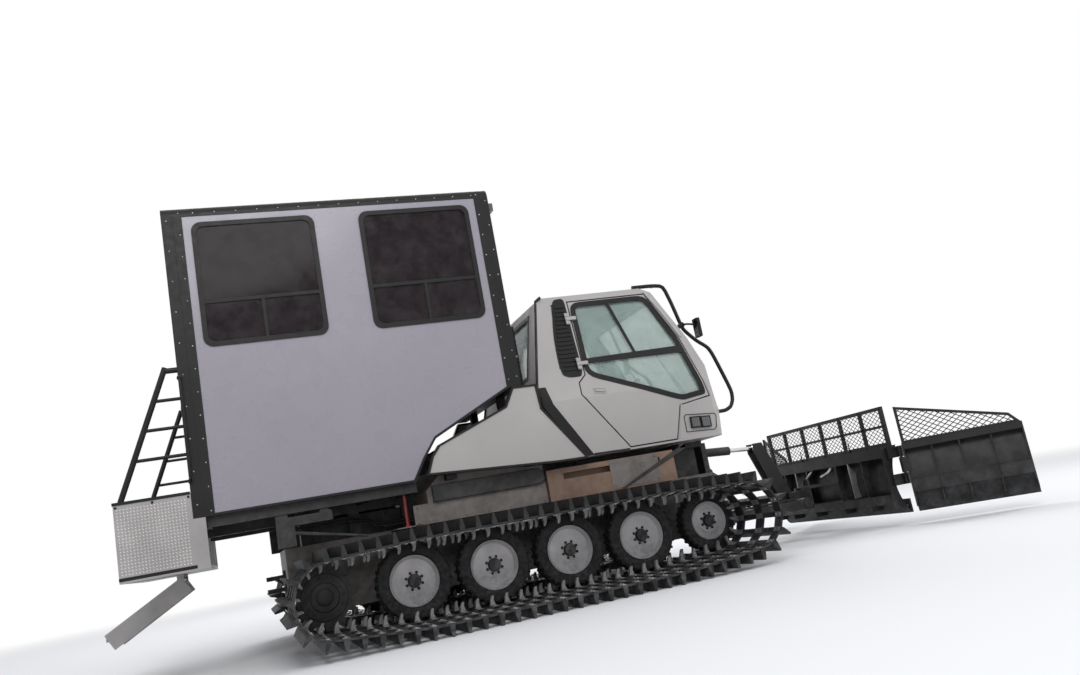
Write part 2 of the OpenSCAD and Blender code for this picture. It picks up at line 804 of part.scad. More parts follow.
// Cylinder along its own axis: barrel with an eye at the start, rod with an eye at the far end
module along(from, to, y) {
    translate([from[0], y, from[1]]) rotate([0, -atan2(to[1] - from[1], to[0] - from[0]), 0]) children();
}

neck_l = lug_r + lug_gap;
module ram_barrel(l, d) {
    difference() {
        union() {
            cross_pin(0, 0, -eye_w / 2, eye_w / 2, 84);
            block([0, -eye_w / 2, -30], [neck_l + 10, eye_w / 2, 30]);
            translate([neck_l, 0, 0]) rotate([0, 90, 0]) cylinder(h = l - neck_l, d = d);
        }
        cross_pin(0, 0, -eye_w / 2 - 1, eye_w / 2 + 1, eye_pin_d);
        translate([neck_l + 14, 0, 0]) rotate([0, 90, 0]) cylinder(h = l, d = d / 2 + 2 * pin_gap);
    }
}

module ram_rod(start, l, d, w) {
    translate([start, 0, 0]) rotate([0, 90, 0]) cylinder(h = l - start, d = d);
    cross_pin(l, 0, -w / 2, w / 2, 76);
}

lift_barrel_l = 430;
lift_barrel_d = 92;
lift_l = norm(lift_foot - lift_top);
pitch_barrel_l = 480;
pitch_barrel_d = 100;
pitch_eye_w = pitch_barrel_d + 6;
pitch_l = norm(pitch_eye - pitch_back);
module lift_barrels() {
    color("#222224") placed() both_sides() along(lift_top, lift_foot, lift_y) ram_barrel(lift_barrel_l, lift_barrel_d);
}

module lift_rods() {
    color("#c8c8ca") placed() both_sides() along(lift_top, lift_foot, lift_y)
        ram_rod(lift_barrel_l - 100, lift_l, lift_barrel_d / 2, eye_w);
}

module pitch_barrel() {
    color("#222224") placed() along(pitch_back, pitch_eye, 0) ram_barrel(pitch_barrel_l, pitch_barrel_d);
}

module pitch_rod() {
    color("#c8c8ca") placed() along(pitch_back, pitch_eye, 0)
        ram_rod(pitch_barrel_l - 96, pitch_l, pitch_barrel_d / 2, pitch_eye_w);
}

swing_x = 5800;
swing_d = 80;
swing_low = 330;
swing_high = 590;
swing_plate = 30;
module blade_head() {
    color("#1d1d1f") placed() difference() {
        union() {
            cross_pin(head_pin[0], head_pin[1], -arm_y - 60, arm_y + 60, head_pin_d - 2 * pin_gap);
            cross_pin(head_pin[0], head_pin[1], -arm_y + arm_w / 2 + lug_gap, arm_y - arm_w / 2 - lug_gap, 130);
            block([head_pin[0], -150, swing_low + swing_plate + 3], [swing_x, 150, swing_high - swing_plate - 3]);
            translate([swing_x, 0, swing_low + swing_plate + 3]) cylinder(h = swing_high - swing_low - 2 * swing_plate - 6, d = 170);
            both_sides() side_form(pitch_eye_w / 2 + lug_gap, pitch_eye_w / 2 + lug_gap + 25) polygon([[head_pin[0] - 40, head_pin[1]],
                [head_pin[0] + 120, head_pin[1] + 40], [head_pin[0] + 60, 640], [pitch_eye[0] + 60, pitch_eye[1] + 55],
                [pitch_eye[0] - 55, pitch_eye[1] + 55], [pitch_eye[0] - 55, pitch_eye[1] - 50]]);
        }
        translate([swing_x, 0, 300]) cylinder(h = 400, d = swing_d);
    }
}

// Mouldboard: an arc of plate, hollow to the front
mould_r = 620;
mould_t = 12;
mould_top = blade_z + blade_h;
mould_mid = (blade_z + mould_top) / 2;
mould_x = blade_x + 40 + sqrt(pow(mould_r, 2) - pow(blade_h / 2, 2));
rib_back = blade_x - 170;
module mould_section(top = mould_top) {
    intersection() {
        difference() {
            translate([mould_x, mould_mid]) circle(mould_r + mould_t, $fn = 96);
            translate([mould_x, mould_mid]) circle(mould_r, $fn = 96);
        }
        translate([blade_x - 300, blade_z]) square([400, top - blade_z]);
    }
}

module rib_section(top = mould_top) {
    difference() {
        translate([rib_back, blade_z + 60]) square([220, top - blade_z - 60]);
        translate([mould_x, mould_mid]) circle(mould_r + mould_t - 1, $fn = 96);
    }
}

rib_t = 16;
module blade_panel(half_y0, half_y1, top) {
    side_form(half_y0, half_y1) mould_section(top);
    block([cutting_x, half_y0, blade_z], [cutting_x + cutting_t, half_y1, blade_z + cutting_h]);
}

guard_top = 1320;
guard_x = blade_x - 10;
guard_t = 40;
module blade() {
    color("#1b1b1d") placed() {
        blade_panel(-blade_half, blade_half, mould_top);
        for (y = [-blade_half, -800, -300, 300 - rib_t, 800 - rib_t, blade_half - rib_t])
            side_form(y, y + rib_t) rib_section();
        block([rib_back, -blade_half, mould_top - 120], [rib_back + 90, blade_half, mould_top]);
        block([rib_back, -blade_half, 250], [rib_back + 90, blade_half, 350]);
        for (z = [swing_low, swing_high - swing_plate]) translate([0, 0, z]) linear_extrude(swing_plate) union() {
            translate([swing_x, 0]) circle(100);
            polygon([[swing_x, -100], [rib_back + 20, -316], [rib_back + 20, 316], [swing_x, 100]]);
        }
        translate([swing_x, 0, swing_low]) cylinder(h = swing_high - swing_low, d = swing_d - 2 * pin_gap);
        both_sides() {
            block([rib_back, 284, 330], [rib_back + 90, 316, mould_top - 100]);
            for (z = hinge_lugs) {
                translate([wing_hinge[0], wing_hinge[1], z[0]]) cylinder(h = z[1] - z[0], d = 60);
                block([wing_hinge[0] - 160, blade_half - rib_t, z[0]], [wing_hinge[0] + 20, wing_hinge[1] - 5, z[1]]);
            }
            translate([wing_hinge[0], wing_hinge[1], hinge_lugs[0][0]])
                cylinder(h = hinge_lugs[1][1] - hinge_lugs[0][0], d = hinge_pin_d - 2 * pin_gap);
        }
    }
}

module blade_guard() {
    color("#1b1b1d") placed() {
        difference() {
            block([guard_x - guard_t, -blade_half, mould_top], [guard_x, blade_half, guard_top]);
            block([guard_x - guard_t - 1, -blade_half + guard_t, mould_top + guard_t],
                [guard_x + 1, blade_half - guard_t, guard_top - guard_t]);
        }
        for (i = [1:5]) {
            y = -blade_half + i * blade_half / 3;
            block([guard_x - guard_t, y - 15, mould_top + guard_t - 1], [guard_x, y + 15, guard_top - guard_t + 1]);
        }
    }
}

// Wing, drawn along -Y from its hinge and then folded forward
hinge_lugs = [[440, 560], [740, 860]];
hinge_gap = 6;
wing_rib_back = blade_x - 110;
module wing() {
    translate([wing_hinge[0], -wing_hinge[1], 0]) rotate(wing_fold) translate([-wing_hinge[0], 0, 0]) {
        blade_panel(-wing_l, -hinge_clear, mould_top);
        for (y = [-wing_l, -wing_l / 2, -hinge_clear - rib_t]) side_form(y, y + rib_t) intersection() {
            rib_section();
            translate([wing_rib_back, 0]) square([400, mould_top]);
        }
        block([wing_rib_back, -wing_l, mould_top - 70], [wing_rib_back + 60, -hinge_clear, mould_top]);
        difference() {
            union() {
                translate([wing_hinge[0], 0, hinge_lugs[0][1] + hinge_gap])
                    cylinder(h = hinge_lugs[1][0] - hinge_lugs[0][1] - 2 * hinge_gap, d = 60);
                block([wing_hinge[0] - 150, -hinge_clear - 30, hinge_lugs[0][1] + hinge_gap],
                    [wing_hinge[0] + 20, -15, hinge_lugs[1][0] - hinge_gap]);
            }
            translate([wing_hinge[0], 0, 0]) cylinder(h = mould_top, d = hinge_pin_d);
        }
    }
}

module wing_right() {
    color("#1b1b1d") placed() wing();
}

module wing_left() {
    color("#1b1b1d") placed() mirror([0, 1, 0]) wing();
}

hull();
wheel_axles();
final_drives();
track_right();
track_left();
tyres();
rims();
sprockets();
engine_block();
engine_hood();
deck_frame();
side_tanks();
side_pods();
pod_trim();
exhaust_stack();
cab_shell();
cab_floor();
cab_glass();
cab_seats();
lamps();
guard_rails();
cabin_frame();
cabin_walls();
cabin_roof();
cabin_floor();
window_frames();
cabin_glass();
cabin_benches();
landing();
landing_rack();
hitch();
front_mounts();
cab_door_right();
door_glass_right();
cab_door_left();
door_glass_left();
cabin_door();
steps();
push_frame();
lift_barrels();
lift_rods();
pitch_barrel();
pitch_rod();
blade_head();
blade();
blade_guard();
wing_right();
wing_left();
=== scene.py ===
import json
import math
import random

import bmesh
import bpy
from mathutils import Matrix, Vector


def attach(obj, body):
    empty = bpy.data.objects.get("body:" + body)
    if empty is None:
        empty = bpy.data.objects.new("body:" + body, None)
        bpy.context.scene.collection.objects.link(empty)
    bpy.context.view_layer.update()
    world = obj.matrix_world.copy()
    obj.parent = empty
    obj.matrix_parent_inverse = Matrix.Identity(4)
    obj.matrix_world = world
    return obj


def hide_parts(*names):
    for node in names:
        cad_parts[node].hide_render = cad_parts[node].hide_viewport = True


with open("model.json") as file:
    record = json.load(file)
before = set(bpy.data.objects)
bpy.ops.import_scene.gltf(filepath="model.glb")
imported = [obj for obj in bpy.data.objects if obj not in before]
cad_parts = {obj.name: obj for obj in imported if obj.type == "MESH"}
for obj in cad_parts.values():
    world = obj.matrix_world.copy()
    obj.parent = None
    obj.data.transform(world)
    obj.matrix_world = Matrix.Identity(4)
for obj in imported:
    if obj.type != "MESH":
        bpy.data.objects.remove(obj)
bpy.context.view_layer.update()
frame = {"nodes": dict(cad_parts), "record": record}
NODES = frame["nodes"]
random.seed(7)

# Distance from the frame's origin back to the sprockets, in metres
MID_X = 2.66267


def row(x, y, z):
    """A place given by its length from the sprockets, in the row's frame."""
    return Vector((x - MID_X, y, z))


# Camera, solved from the photograph
CAMERA_PLACE = row(-0.6481, -9.7827, 0.8093)
CAMERA_YAW = -0.3429
CAMERA_PITCH = -0.1897
CAMERA_ROLL = -0.1850
FOCAL_PX = 921.4
FRAME_PX = 1080
SENSOR_MM = 36.0


def add_camera():
    data = bpy.data.cameras.new("camera")
    data.sensor_fit = "HORIZONTAL"
    data.sensor_width = SENSOR_MM
    data.lens = SENSOR_MM * FOCAL_PX / FRAME_PX
    data.clip_end = 500
    camera = bpy.data.objects.new("camera", data)
    bpy.context.scene.collection.objects.link(camera)
    turn = Matrix.Rotation(-CAMERA_YAW, 3, "Z")
    look = Matrix(((1, 0, 0), (0, 0, -1), (0, 1, 0)))
    tilt = Matrix.Rotation(CAMERA_PITCH, 3, "X")
    roll = Matrix.Rotation(CAMERA_ROLL, 3, "Z")
    to_camera = roll @ tilt @ look @ turn
    flip = Matrix(((1, 0, 0), (0, -1, 0), (0, 0, -1)))
    camera.matrix_world = Matrix.Translation(CAMERA_PLACE) @ (to_camera.transposed() @ flip).to_4x4()
    bpy.context.scene.camera = camera


# Materials


def new_material(name):
    mat = bpy.data.materials.new(name)
    mat.use_nodes = True
    tree = mat.node_tree
    return mat, tree, tree.nodes["Principled BSDF"]


def add_node(tree, kind, inputs=None, **settings):
    node = tree.nodes.new(kind)
    for key, value in settings.items():
        setattr(node, key, value)
    for key, value in (inputs or {}).items():
        node.inputs[key].default_value = value
    return node


def object_coords(tree):
    return add_node(tree, "ShaderNodeTexCoord").outputs["Object"]


def noise(tree, coords, scale, detail=3.0, rough=0.55):
    node = add_node(tree, "ShaderNodeTexNoise", {"Scale": scale, "Detail": detail, "Roughness": rough})
    tree.links.new(coords, node.inputs["Vector"])
    return node.outputs["Fac"]


def ramp(tree, source, stops):
    """Colour ramp through (place, colour) stops."""
    node = add_node(tree, "ShaderNodeValToRGB")
    elements = node.color_ramp.elements
    while len(elements) < len(stops):
        elements.new(0.5)
    for element, (place, colour) in zip(elements, stops):
        element.position = place
        element.color = (*colour, 1)
    tree.links.new(source, node.inputs["Fac"])
    return node.outputs["Color"]


def grey(value):
    return (value, value, value)


def add_bump(tree, shader, height, strength, distance):
    node = add_node(tree, "ShaderNodeBump", {"Strength": strength, "Distance": distance})
    tree.links.new(height, node.inputs["Height"])
    tree.links.new(node.outputs["Normal"], shader.inputs["Normal"])


def mix_colour(tree, factor, one, two):
    node = add_node(tree, "ShaderNodeMix", data_type="RGBA")
    for socket, value in (("Factor", factor), ("A", one), ("B", two)):
        target = [i for i in node.inputs if i.name == socket and i.type in ("VALUE" if socket == "Factor" else "RGBA",)][0]
        if isinstance(value, (tuple, float)):
            target.default_value = (*value, 1) if isinstance(value, tuple) else value
        else:
            tree.links.new(value, target)
    return [o for o in node.outputs if o.type == "RGBA"][0]


def surface(name, light, dark, rough, metallic=0.0, coat=0.0, blotch=3.0, grain=90.0, bump=0.15, depth=0.0006,
            dust=None, dust_top=1.4, gloss=0.5):
    """Finish with blotches of two colours, uneven gloss, fine grain and, low down, dust of a third colour."""
    mat, tree, shader = new_material(name)
    coords = object_coords(tree)
    broad = noise(tree, coords, blotch, 4.0)
    colour = ramp(tree, broad, [(0.3, dark), (0.68, light)])
    if dust:
        split = add_node(tree, "ShaderNodeSeparateXYZ")
        tree.links.new(coords, split.inputs["Vector"])
        height = add_node(tree, "ShaderNodeMapRange", {"From Min": dust_top, "From Max": 0.0})
        tree.links.new(split.outputs["Z"], height.inputs["Value"])
        patches = ramp(tree, noise(tree, coords, blotch * 4, 6.0, 0.65), [(0.42, grey(0)), (0.7, grey(1))])
        share = add_node(tree, "ShaderNodeMath", operation="MULTIPLY")
        tree.links.new(height.outputs["Result"], share.inputs[0])
        tree.links.new(patches, share.inputs[1])
        colour = mix_colour(tree, share.outputs["Value"], colour, dust)
    tree.links.new(colour, shader.inputs["Base Color"])
    rough_map = ramp(tree, noise(tree, coords, blotch * 5), [(0.3, grey(max(rough - 0.08, 0.03))), (0.7, grey(rough + 0.1))])
    tree.links.new(rough_map, shader.inputs["Roughness"])
    shader.inputs["Metallic"].default_value = metallic
    shader.inputs["Specular IOR Level"].default_value = gloss
    if coat:
        shader.inputs["Coat Weight"].default_value = coat
        shader.inputs["Coat Roughness"].default_value = 0.12
    add_bump(tree, shader, noise(tree, coords, grain, 2.0), bump, depth)
    return mat


def glass(name, colour, rough, alpha, gloss=0.8):
    """Tinted pane: part of the light passes, with faint smears of frost in its gloss."""
    mat, tree, shader = new_material(name)
    coords = object_coords(tree)
    smear = noise(tree, coords, 6.0, 5.0, 0.7)
    tree.links.new(ramp(tree, smear, [(0.35, colour), (0.75, tuple(min(1, c * 1.35 + 0.02) for c in colour))]),
                   shader.inputs["Base Color"])
    tree.links.new(ramp(tree, smear, [(0.3, grey(rough)), (0.8, grey(rough + 0.12))]), shader.inputs["Roughness"])
    shader.inputs["Alpha"].default_value = alpha
    shader.inputs["IOR"].default_value = 1.5
    shader.inputs["Specular IOR Level"].default_value = gloss
    return mat


def build_materials():
    return {
        "chassis_black": surface("chassis_black", grey(0.030), grey(0.014), 0.5, dust=(0.16, 0.155, 0.15), gloss=0.3),
        "hull_grey": surface("hull_grey", (0.175, 0.155, 0.145), (0.11, 0.098, 0.09), 0.55, dust=(0.27, 0.26, 0.25), gloss=0.3),
        "track_rubber": surface("track_rubber", grey(0.022), grey(0.010), 0.6, dust=(0.10, 0.10, 0.105), dust_top=1.0, gloss=0.3),
        "tyre": surface("tyre", grey(0.018), grey(0.010), 0.7, blotch=6, dust=(0.075, 0.075, 0.078), dust_top=0.9, gloss=0.3),
        "rim_grey": surface("rim_grey", (0.56, 0.54, 0.55), (0.42, 0.405, 0.415), 0.42, blotch=5, dust=(0.15, 0.145, 0.145),
                            dust_top=0.75, bump=0.08),
        "cast_dark": surface("cast_dark", grey(0.045), grey(0.02), 0.6, metallic=0.3, grain=160, bump=0.3, depth=0.001, gloss=0.3),
        "tank_tan": surface("tank_tan", (0.235, 0.145, 0.10), (0.15, 0.095, 0.068), 0.5, blotch=2.2, dust=(0.26, 0.225, 0.20),
                            gloss=0.3),
        "silver_paint": surface("silver_paint", (0.405, 0.385, 0.375), (0.355, 0.34, 0.33), 0.52, coat=0.06, gloss=0.3,
                                blotch=1.1, grain=260, bump=0.03, depth=0.0003),
        "seal_rubber": surface("seal_rubber", grey(0.012), grey(0.007), 0.5, gloss=0.25),
        "cabin_panel": surface("cabin_panel", (0.285, 0.268, 0.308), (0.262, 0.246, 0.285), 0.28, coat=0.25, blotch=0.9, grain=260,
                               bump=0.02, depth=0.0003, gloss=0.35),
        "cabin_black": surface("cabin_black", grey(0.010), grey(0.006), 0.42, bump=0.05, gloss=0.25),
        "cab_glass": glass("cab_glass", (0.30, 0.40, 0.365), 0.03, 0.42),
        "cabin_glass": glass("cabin_glass", (0.014, 0.010, 0.012), 0.05, 0.92, 0.10),
        "lamp_glass": glass("lamp_glass", (0.09, 0.09, 0.09), 0.05, 0.92, 0.4),
        "seat_fabric": surface("seat_fabric", (0.05, 0.055, 0.07), (0.03, 0.032, 0.04), 0.85, grain=500, bump=0.5),
        "floor_mat": surface("floor_mat", grey(0.05), grey(0.03), 0.8, grain=200, bump=0.5, gloss=0.3),
        "treadplate": surface("treadplate", (0.36, 0.345, 0.34), (0.28, 0.27, 0.265), 0.42, metallic=0.4, blotch=3),
        "tread_bright": surface("tread_bright", (0.80, 0.77, 0.75), (0.66, 0.635, 0.62), 0.35, metallic=0.3, blotch=3, bump=0.05),
        "mirror_dark": surface("mirror_dark", grey(0.06), grey(0.045), 0.12, metallic=1.0, bump=0.01),
        "rod_chrome": surface("rod_chrome", grey(0.7), grey(0.6), 0.12, metallic=1.0),
        "blade_black": surface("blade_black", grey(0.017), grey(0.009), 0.45, blotch=1.6, dust=(0.07, 0.07, 0.072), dust_top=0.9,
                               gloss=0.3),
        "guide_grey": surface("guide_grey", grey(0.33), grey(0.16), 0.5, metallic=0.2, blotch=9, dust=(0.40, 0.40, 0.41)),
        "worn_steel": surface("worn_steel", grey(0.42), grey(0.20), 0.38, metallic=0.75, blotch=12, grain=220, bump=0.3),
        "mesh_black": surface("mesh_black", grey(0.028), grey(0.014), 0.5, metallic=0.2, blotch=9),
        "lamp_red": glass("lamp_red", (0.10, 0.006, 0.005), 0.2, 1.0, 0.25),
        "lamp_lens": glass("lamp_lens", (0.10, 0.10, 0.105), 0.06, 1.0, 0.5),
        "bright_trim": surface("bright_trim", grey(0.45), grey(0.36), 0.38, metallic=0.8, grain=300, bump=0.05),
        "strut_red": surface("strut_red", (0.42, 0.035, 0.028), (0.26, 0.02, 0.018), 0.4, coat=0.3, blotch=6),
    }


def dress_nodes(mats):
    """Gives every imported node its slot's finish."""
    for part in frame["record"]["subparts"]:
        node = NODES[part["node"]]
        node.data.materials.clear()
        node.data.materials.append(mats[part["material_slot"]])


# Shapes: each helper adds to a bmesh, in lengths from the sprockets


def prism(bm, outline, low, high, along="y", place=row):
    """Outline extruded across (y), forward (x) or up (z)."""
    order = {"y": lambda a, b, c: place(a, c, b), "x": lambda a, b, c: place(c, a, b), "z": lambda a, b, c: place(a, b, c)}[along]
    near, far = [[bm.verts.new(order(a, b, c)) for a, b in outline] for c in (low, high)]
    bm.faces.new(near)
    bm.faces.new(far)
    count = len(outline)
    for i in range(count):
        j = (i + 1) % count
        bm.faces.new((near[i], near[j], far[j], far[i]))


def box(bm, low, high, place=row):
    prism(bm, [(low[0], low[2]), (high[0], low[2]), (high[0], high[2]), (low[0], high[2])], low[1], high[1], place=place)


def side_frame(direction):
    """Two directions square to one."""
    up = Vector((0, 0, 1)) if abs(direction.z) < 0.9 else Vector((1, 0, 0))
    side = direction.cross(up).normalized()
    return side, side.cross(direction).normalized()


def tube(bm, points, radius, sides=8, place=row):
    """Round bar along points, mitred at each one."""
    points = [place(*p) for p in points]
    rings = []
    side = None
    for i, point in enumerate(points):
        before = (point - points[i - 1]).normalized() if i else None
        after = (points[i + 1] - point).normalized() if i + 1 < len(points) else None
        heading = (before or after) if before is None or after is None else (before + after).normalized()
        if side is None:
            side = side_frame(heading)[0]
        side = (side - heading * side.dot(heading)).normalized()
        up = heading.cross(side)
        rings.append([bm.verts.new(point + radius * (math.cos(a) * side + math.sin(a) * up))
                      for a in (2 * math.pi * k / sides for k in range(sides))])
    for one, two in zip(rings, rings[1:]):
        for k in range(sides):
            bm.faces.new((one[k], one[(k + 1) % sides], two[(k + 1) % sides], two[k]))
    bm.faces.new(rings[0])
    bm.faces.new(rings[-1])


def turned(bm, place, normal, profile, sides=24, start=0.0):
    """Profile of (radius, height along the normal) turned about the normal; a closed profile makes a ring."""
    normal = Vector(normal).normalized()
    side, up = side_frame(normal)
    closed = profile[0] == profile[-1]
    rings = []
    for radius, height in profile[:-1] if closed else profile:
        centre = place + normal * height
        rings.append([bm.verts.new(centre + radius * (math.cos(a) * side + math.sin(a) * up))
                      for a in (start + 2 * math.pi * k / sides for k in range(sides))])
    pairs = list(zip(rings, rings[1:])) + ([(rings[-1], rings[0])] if closed else [])
    for one, two in pairs:
        for k in range(sides):
            bm.faces.new((one[k], one[(k + 1) % sides], two[(k + 1) % sides], two[k]))
    if not closed:
        bm.faces.new(rings[0])
        bm.faces.new(rings[-1])


def bolt(bm, place, normal, radius=0.011, height=0.008):
    """Hexagon head on its washer."""
    turned(bm, place, normal, [(radius * 1.35, 0), (radius * 1.35, 0.002), (radius, 0.002), (radius, height - 0.0015),
                               (radius * 0.85, height)], 6)


def both_sides(bm):
    """Repeats what the mesh holds on the other side of the machine."""
    copy = bmesh.ops.duplicate(bm, geom=bm.verts[:] + bm.edges[:] + bm.faces[:])["geom"]
    for vert in copy:
        if isinstance(vert, bmesh.types.BMVert):
            vert.co.y = -vert.co.y


def finish(name, bm, mat, body="chassis", bevel=0.0, smooth=35, replaces=()):
    """Turns a bmesh into a piece of the scene on its body."""
    bmesh.ops.recalc_face_normals(bm, faces=bm.faces)
    mesh = bpy.data.meshes.new(name)
    bm.to_mesh(mesh)
    bm.free()
    piece = bpy.data.objects.new(name, mesh)
    bpy.context.scene.collection.objects.link(piece)
    mesh.materials.append(MATS[mat])
    mesh.shade_smooth()
    mesh.set_sharp_from_angle(angle=math.radians(smooth))
    if bevel:
        edge = piece.modifiers.new("edge", "BEVEL")
        edge.width = bevel
        edge.segments = 2
        edge.limit_method = "ANGLE"
        edge.harden_normals = True
    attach(piece, body)
    if replaces:
        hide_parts(*replaces)
    return piece


# Running gear

HUB_Z = 0.460
IDLER_Z = 0.472
ROAD_XS = [0.8, 1.56, 2.32, 3.08]
IDLER_X = 3.84
TYRE_R = 0.35
IDLER_R = 0.30
SPROCKET_R = 0.30
WHEELS = [(x, HUB_Z, TYRE_R, 0.23) for x in ROAD_XS] + [(IDLER_X, IDLER_Z, IDLER_R, 0.19)]
WHEEL_Y = 1.13
BAR_COUNT = 68
LOOP = [(0, IDLER_Z, SPROCKET_R), (ROAD_XS[0], HUB_Z, TYRE_R), (ROAD_XS[-1], HUB_Z, TYRE_R), (IDLER_X, IDLER_Z, IDLER_R),
        (ROAD_XS[-1], HUB_Z, TYRE_R), (ROAD_XS[0], HUB_Z, TYRE_R)]


def loop_spans():
    """Arcs and straights of the track's loop: where each starts, and how to find a point on it."""
    def straight(i):
        one, two = LOOP[i % 6], LOOP[(i + 1) % 6]
        span = math.hypot(two[0] - one[0], two[1] - one[1])
        heading = math.atan2(two[1] - one[1], two[0] - one[0])
        return heading - math.acos((one[2] - two[2]) / span), math.sqrt(span ** 2 - (one[2] - two[2]) ** 2)
    spans, start = [], 0.0
    for i in range(6):
        first = straight(i - 1)[0]
        last, length = straight(i)
        turn = (last - first) % (2 * math.pi)
        spans.append((start, turn * LOOP[i][2], length, first, last, LOOP[i]))
        start += turn * LOOP[i][2] + length
    return spans, start


SPANS, LOOP_L = loop_spans()


def loop_at(s):
    """Place and outward angle at a length along the loop."""
    s %= LOOP_L
    for start, arc, length, first, last, (x, z, r) in SPANS:
        u = s - start
        if u < arc:
            a = first + u / r
            return x + r * math.cos(a), z + r * math.sin(a), a
        if u < arc + length:
            v = u - arc
            return x + r * math.cos(last) - v * math.sin(last), z + r * math.sin(last) + v * math.cos(last), last
    return loop_at(0)


def beside(point, out, on):
    """Outward and onward from a point of the loop."""
    x, z, a = point
    return x + out * math.cos(a) - on * math.sin(a), z + out * math.sin(a) + on * math.cos(a)


def make_tyres():
    bm = bmesh.new()
    for x, z, r, bore in WHEELS:
        centre = row(x, WHEEL_Y, z)
        half = [(bore + 0.001, 0.070), (bore + 0.006, 0.080), (bore + 0.016, 0.0865), (bore + 0.030, 0.0885),
                (bore + 0.034, 0.0875), (bore + 0.037, 0.0885), ((bore + r) / 2, 0.0895), (r - 0.032, 0.0885),
                (r - 0.029, 0.0875), (r - 0.026, 0.0875), (r - 0.017, 0.0800), (r - 0.011, 0.0680), (r - 0.008, 0.0350)]
        profile = half + [(radius, -side) for radius, side in reversed(half)]
        turned(bm, centre, (0, 1, 0), profile + [profile[0]], 72)
        lugs = 30
        for k in range(2 * lugs):
            side = 1 if k % 2 else -1
            a = math.pi * k / lugs
            corners = []
            for radius in (r - 0.02, r - 0.0006):
                for y, lean, reach in ((0.006, 0.035, 0), (0.0885 if radius < r - 0.01 else 0.079, 0.0, 0)):
                    for half_width in (-0.034, 0.034):
                        b = a + lean + half_width
                        corners.append(bm.verts.new(centre + Vector((radius * math.cos(b), side * y, radius * math.sin(b)))))
            for face in ((0, 1, 3, 2), (4, 5, 7, 6), (0, 1, 5, 4), (2, 3, 7, 6), (0, 2, 6, 4), (1, 3, 7, 5)):
                bm.faces.new([corners[i] for i in face])
    both_sides(bm)
    finish("tyre_treads", bm, "tyre", smooth=40, replaces=("tyres",))


def make_rims():
    bm = bmesh.new()
    caps = bmesh.new()
    for x, z, r, bore in WHEELS:
        centre = row(x, WHEEL_Y, z)
        rim = bore - 0.0005
        profile = [(rim - 0.004, 0.080), (rim, 0.076), (rim, 0.068), (rim - 0.010, 0.060), (rim - 0.014, 0.020), (rim - 0.014, -0.060),
                   (rim, -0.070), (rim, -0.079), (rim - 0.006, -0.079), (rim - 0.020, -0.060), (rim - 0.022, 0.010),
                   (rim - 0.030, 0.020), (rim - 0.060, 0.030), (0.110, 0.050), (0.085, 0.050), (0.0565, 0.050), (0.0565, 0.058),
                   (0.085, 0.058), (0.112, 0.058), (rim - 0.058, 0.040), (rim - 0.032, 0.036), (rim - 0.020, 0.052),
                   (rim - 0.012, 0.070), (rim - 0.004, 0.080)]
        turned(bm, centre, (0, 1, 0), profile, 64)
        for k in range(8):
            a = math.pi * (k + 0.5) / 4
            bolt(caps, centre + Vector((0.078 * math.cos(a), 0.058, 0.078 * math.sin(a))), (0, 1, 0), 0.011, 0.014)
        turned(caps, centre, (0, 1, 0), [(0.062, 0.056), (0.062, 0.070), (0.056, 0.084), (0.046, 0.088), (0.038, 0.088),
                                         (0.036, 0.082), (0.022, 0.082), (0.016, 0.086)], 32)
    both_sides(bm)
    both_sides(caps)
    finish("wheel_discs", bm, "rim_grey", replaces=("rims",))
    finish("wheel_hubs", caps, "cast_dark")


def make_track_details():
    horns = bmesh.new()
    plates = bmesh.new()
    for i in range(BAR_COUNT):
        point = loop_at(i * LOOP_L / BAR_COUNT)
        outline = [(0.0, -0.030), (-0.012, -0.022), (-0.050, -0.017), (-0.078, -0.006), (-0.090, 0.010), (-0.086, 0.020),
                   (-0.070, 0.018), (-0.045, 0.014), (-0.012, 0.024), (0.0, 0.030)]
        for low, high in ((1.244, 1.284), (0.974, 1.016)):
            prism(horns, [beside(point, out, on) for out, on in outline], low, high)
        for low, high in ((1.975, 2.081), (1.628, 1.752), (1.292, 1.382), (0.890, 0.966), (0.756, 0.808)):
            prism(plates, [beside(point, out, on) for out, on in ((0.003, -0.032), (0.0, -0.026), (-0.003, -0.026),
                                                                  (-0.003, 0.026), (0.0, 0.026), (0.003, 0.032))], low, high)
            for across in (low + 0.022, high - 0.022):
                x, z = beside(point, -0.003, 0)
                bolt(plates, row(x, across, z), (-math.cos(point[2]), 0, -math.sin(point[2])), 0.010, 0.008)
        for across in (2.082, 1.975, 1.75, 1.63, 1.38, 0.89):
            x, z = beside(point, 0.1095, 0)
            turned(plates, row(x, across, z), (math.cos(point[2]), 0, math.sin(point[2])),
                   [(0.0095, -0.006), (0.0095, 0.0), (0.004, 0.0004)], 8)
    both_sides(horns)
    both_sides(plates)
    finish("track_guides", horns, "guide_grey", bevel=0.004)
    finish("track_plates", plates, "worn_steel")


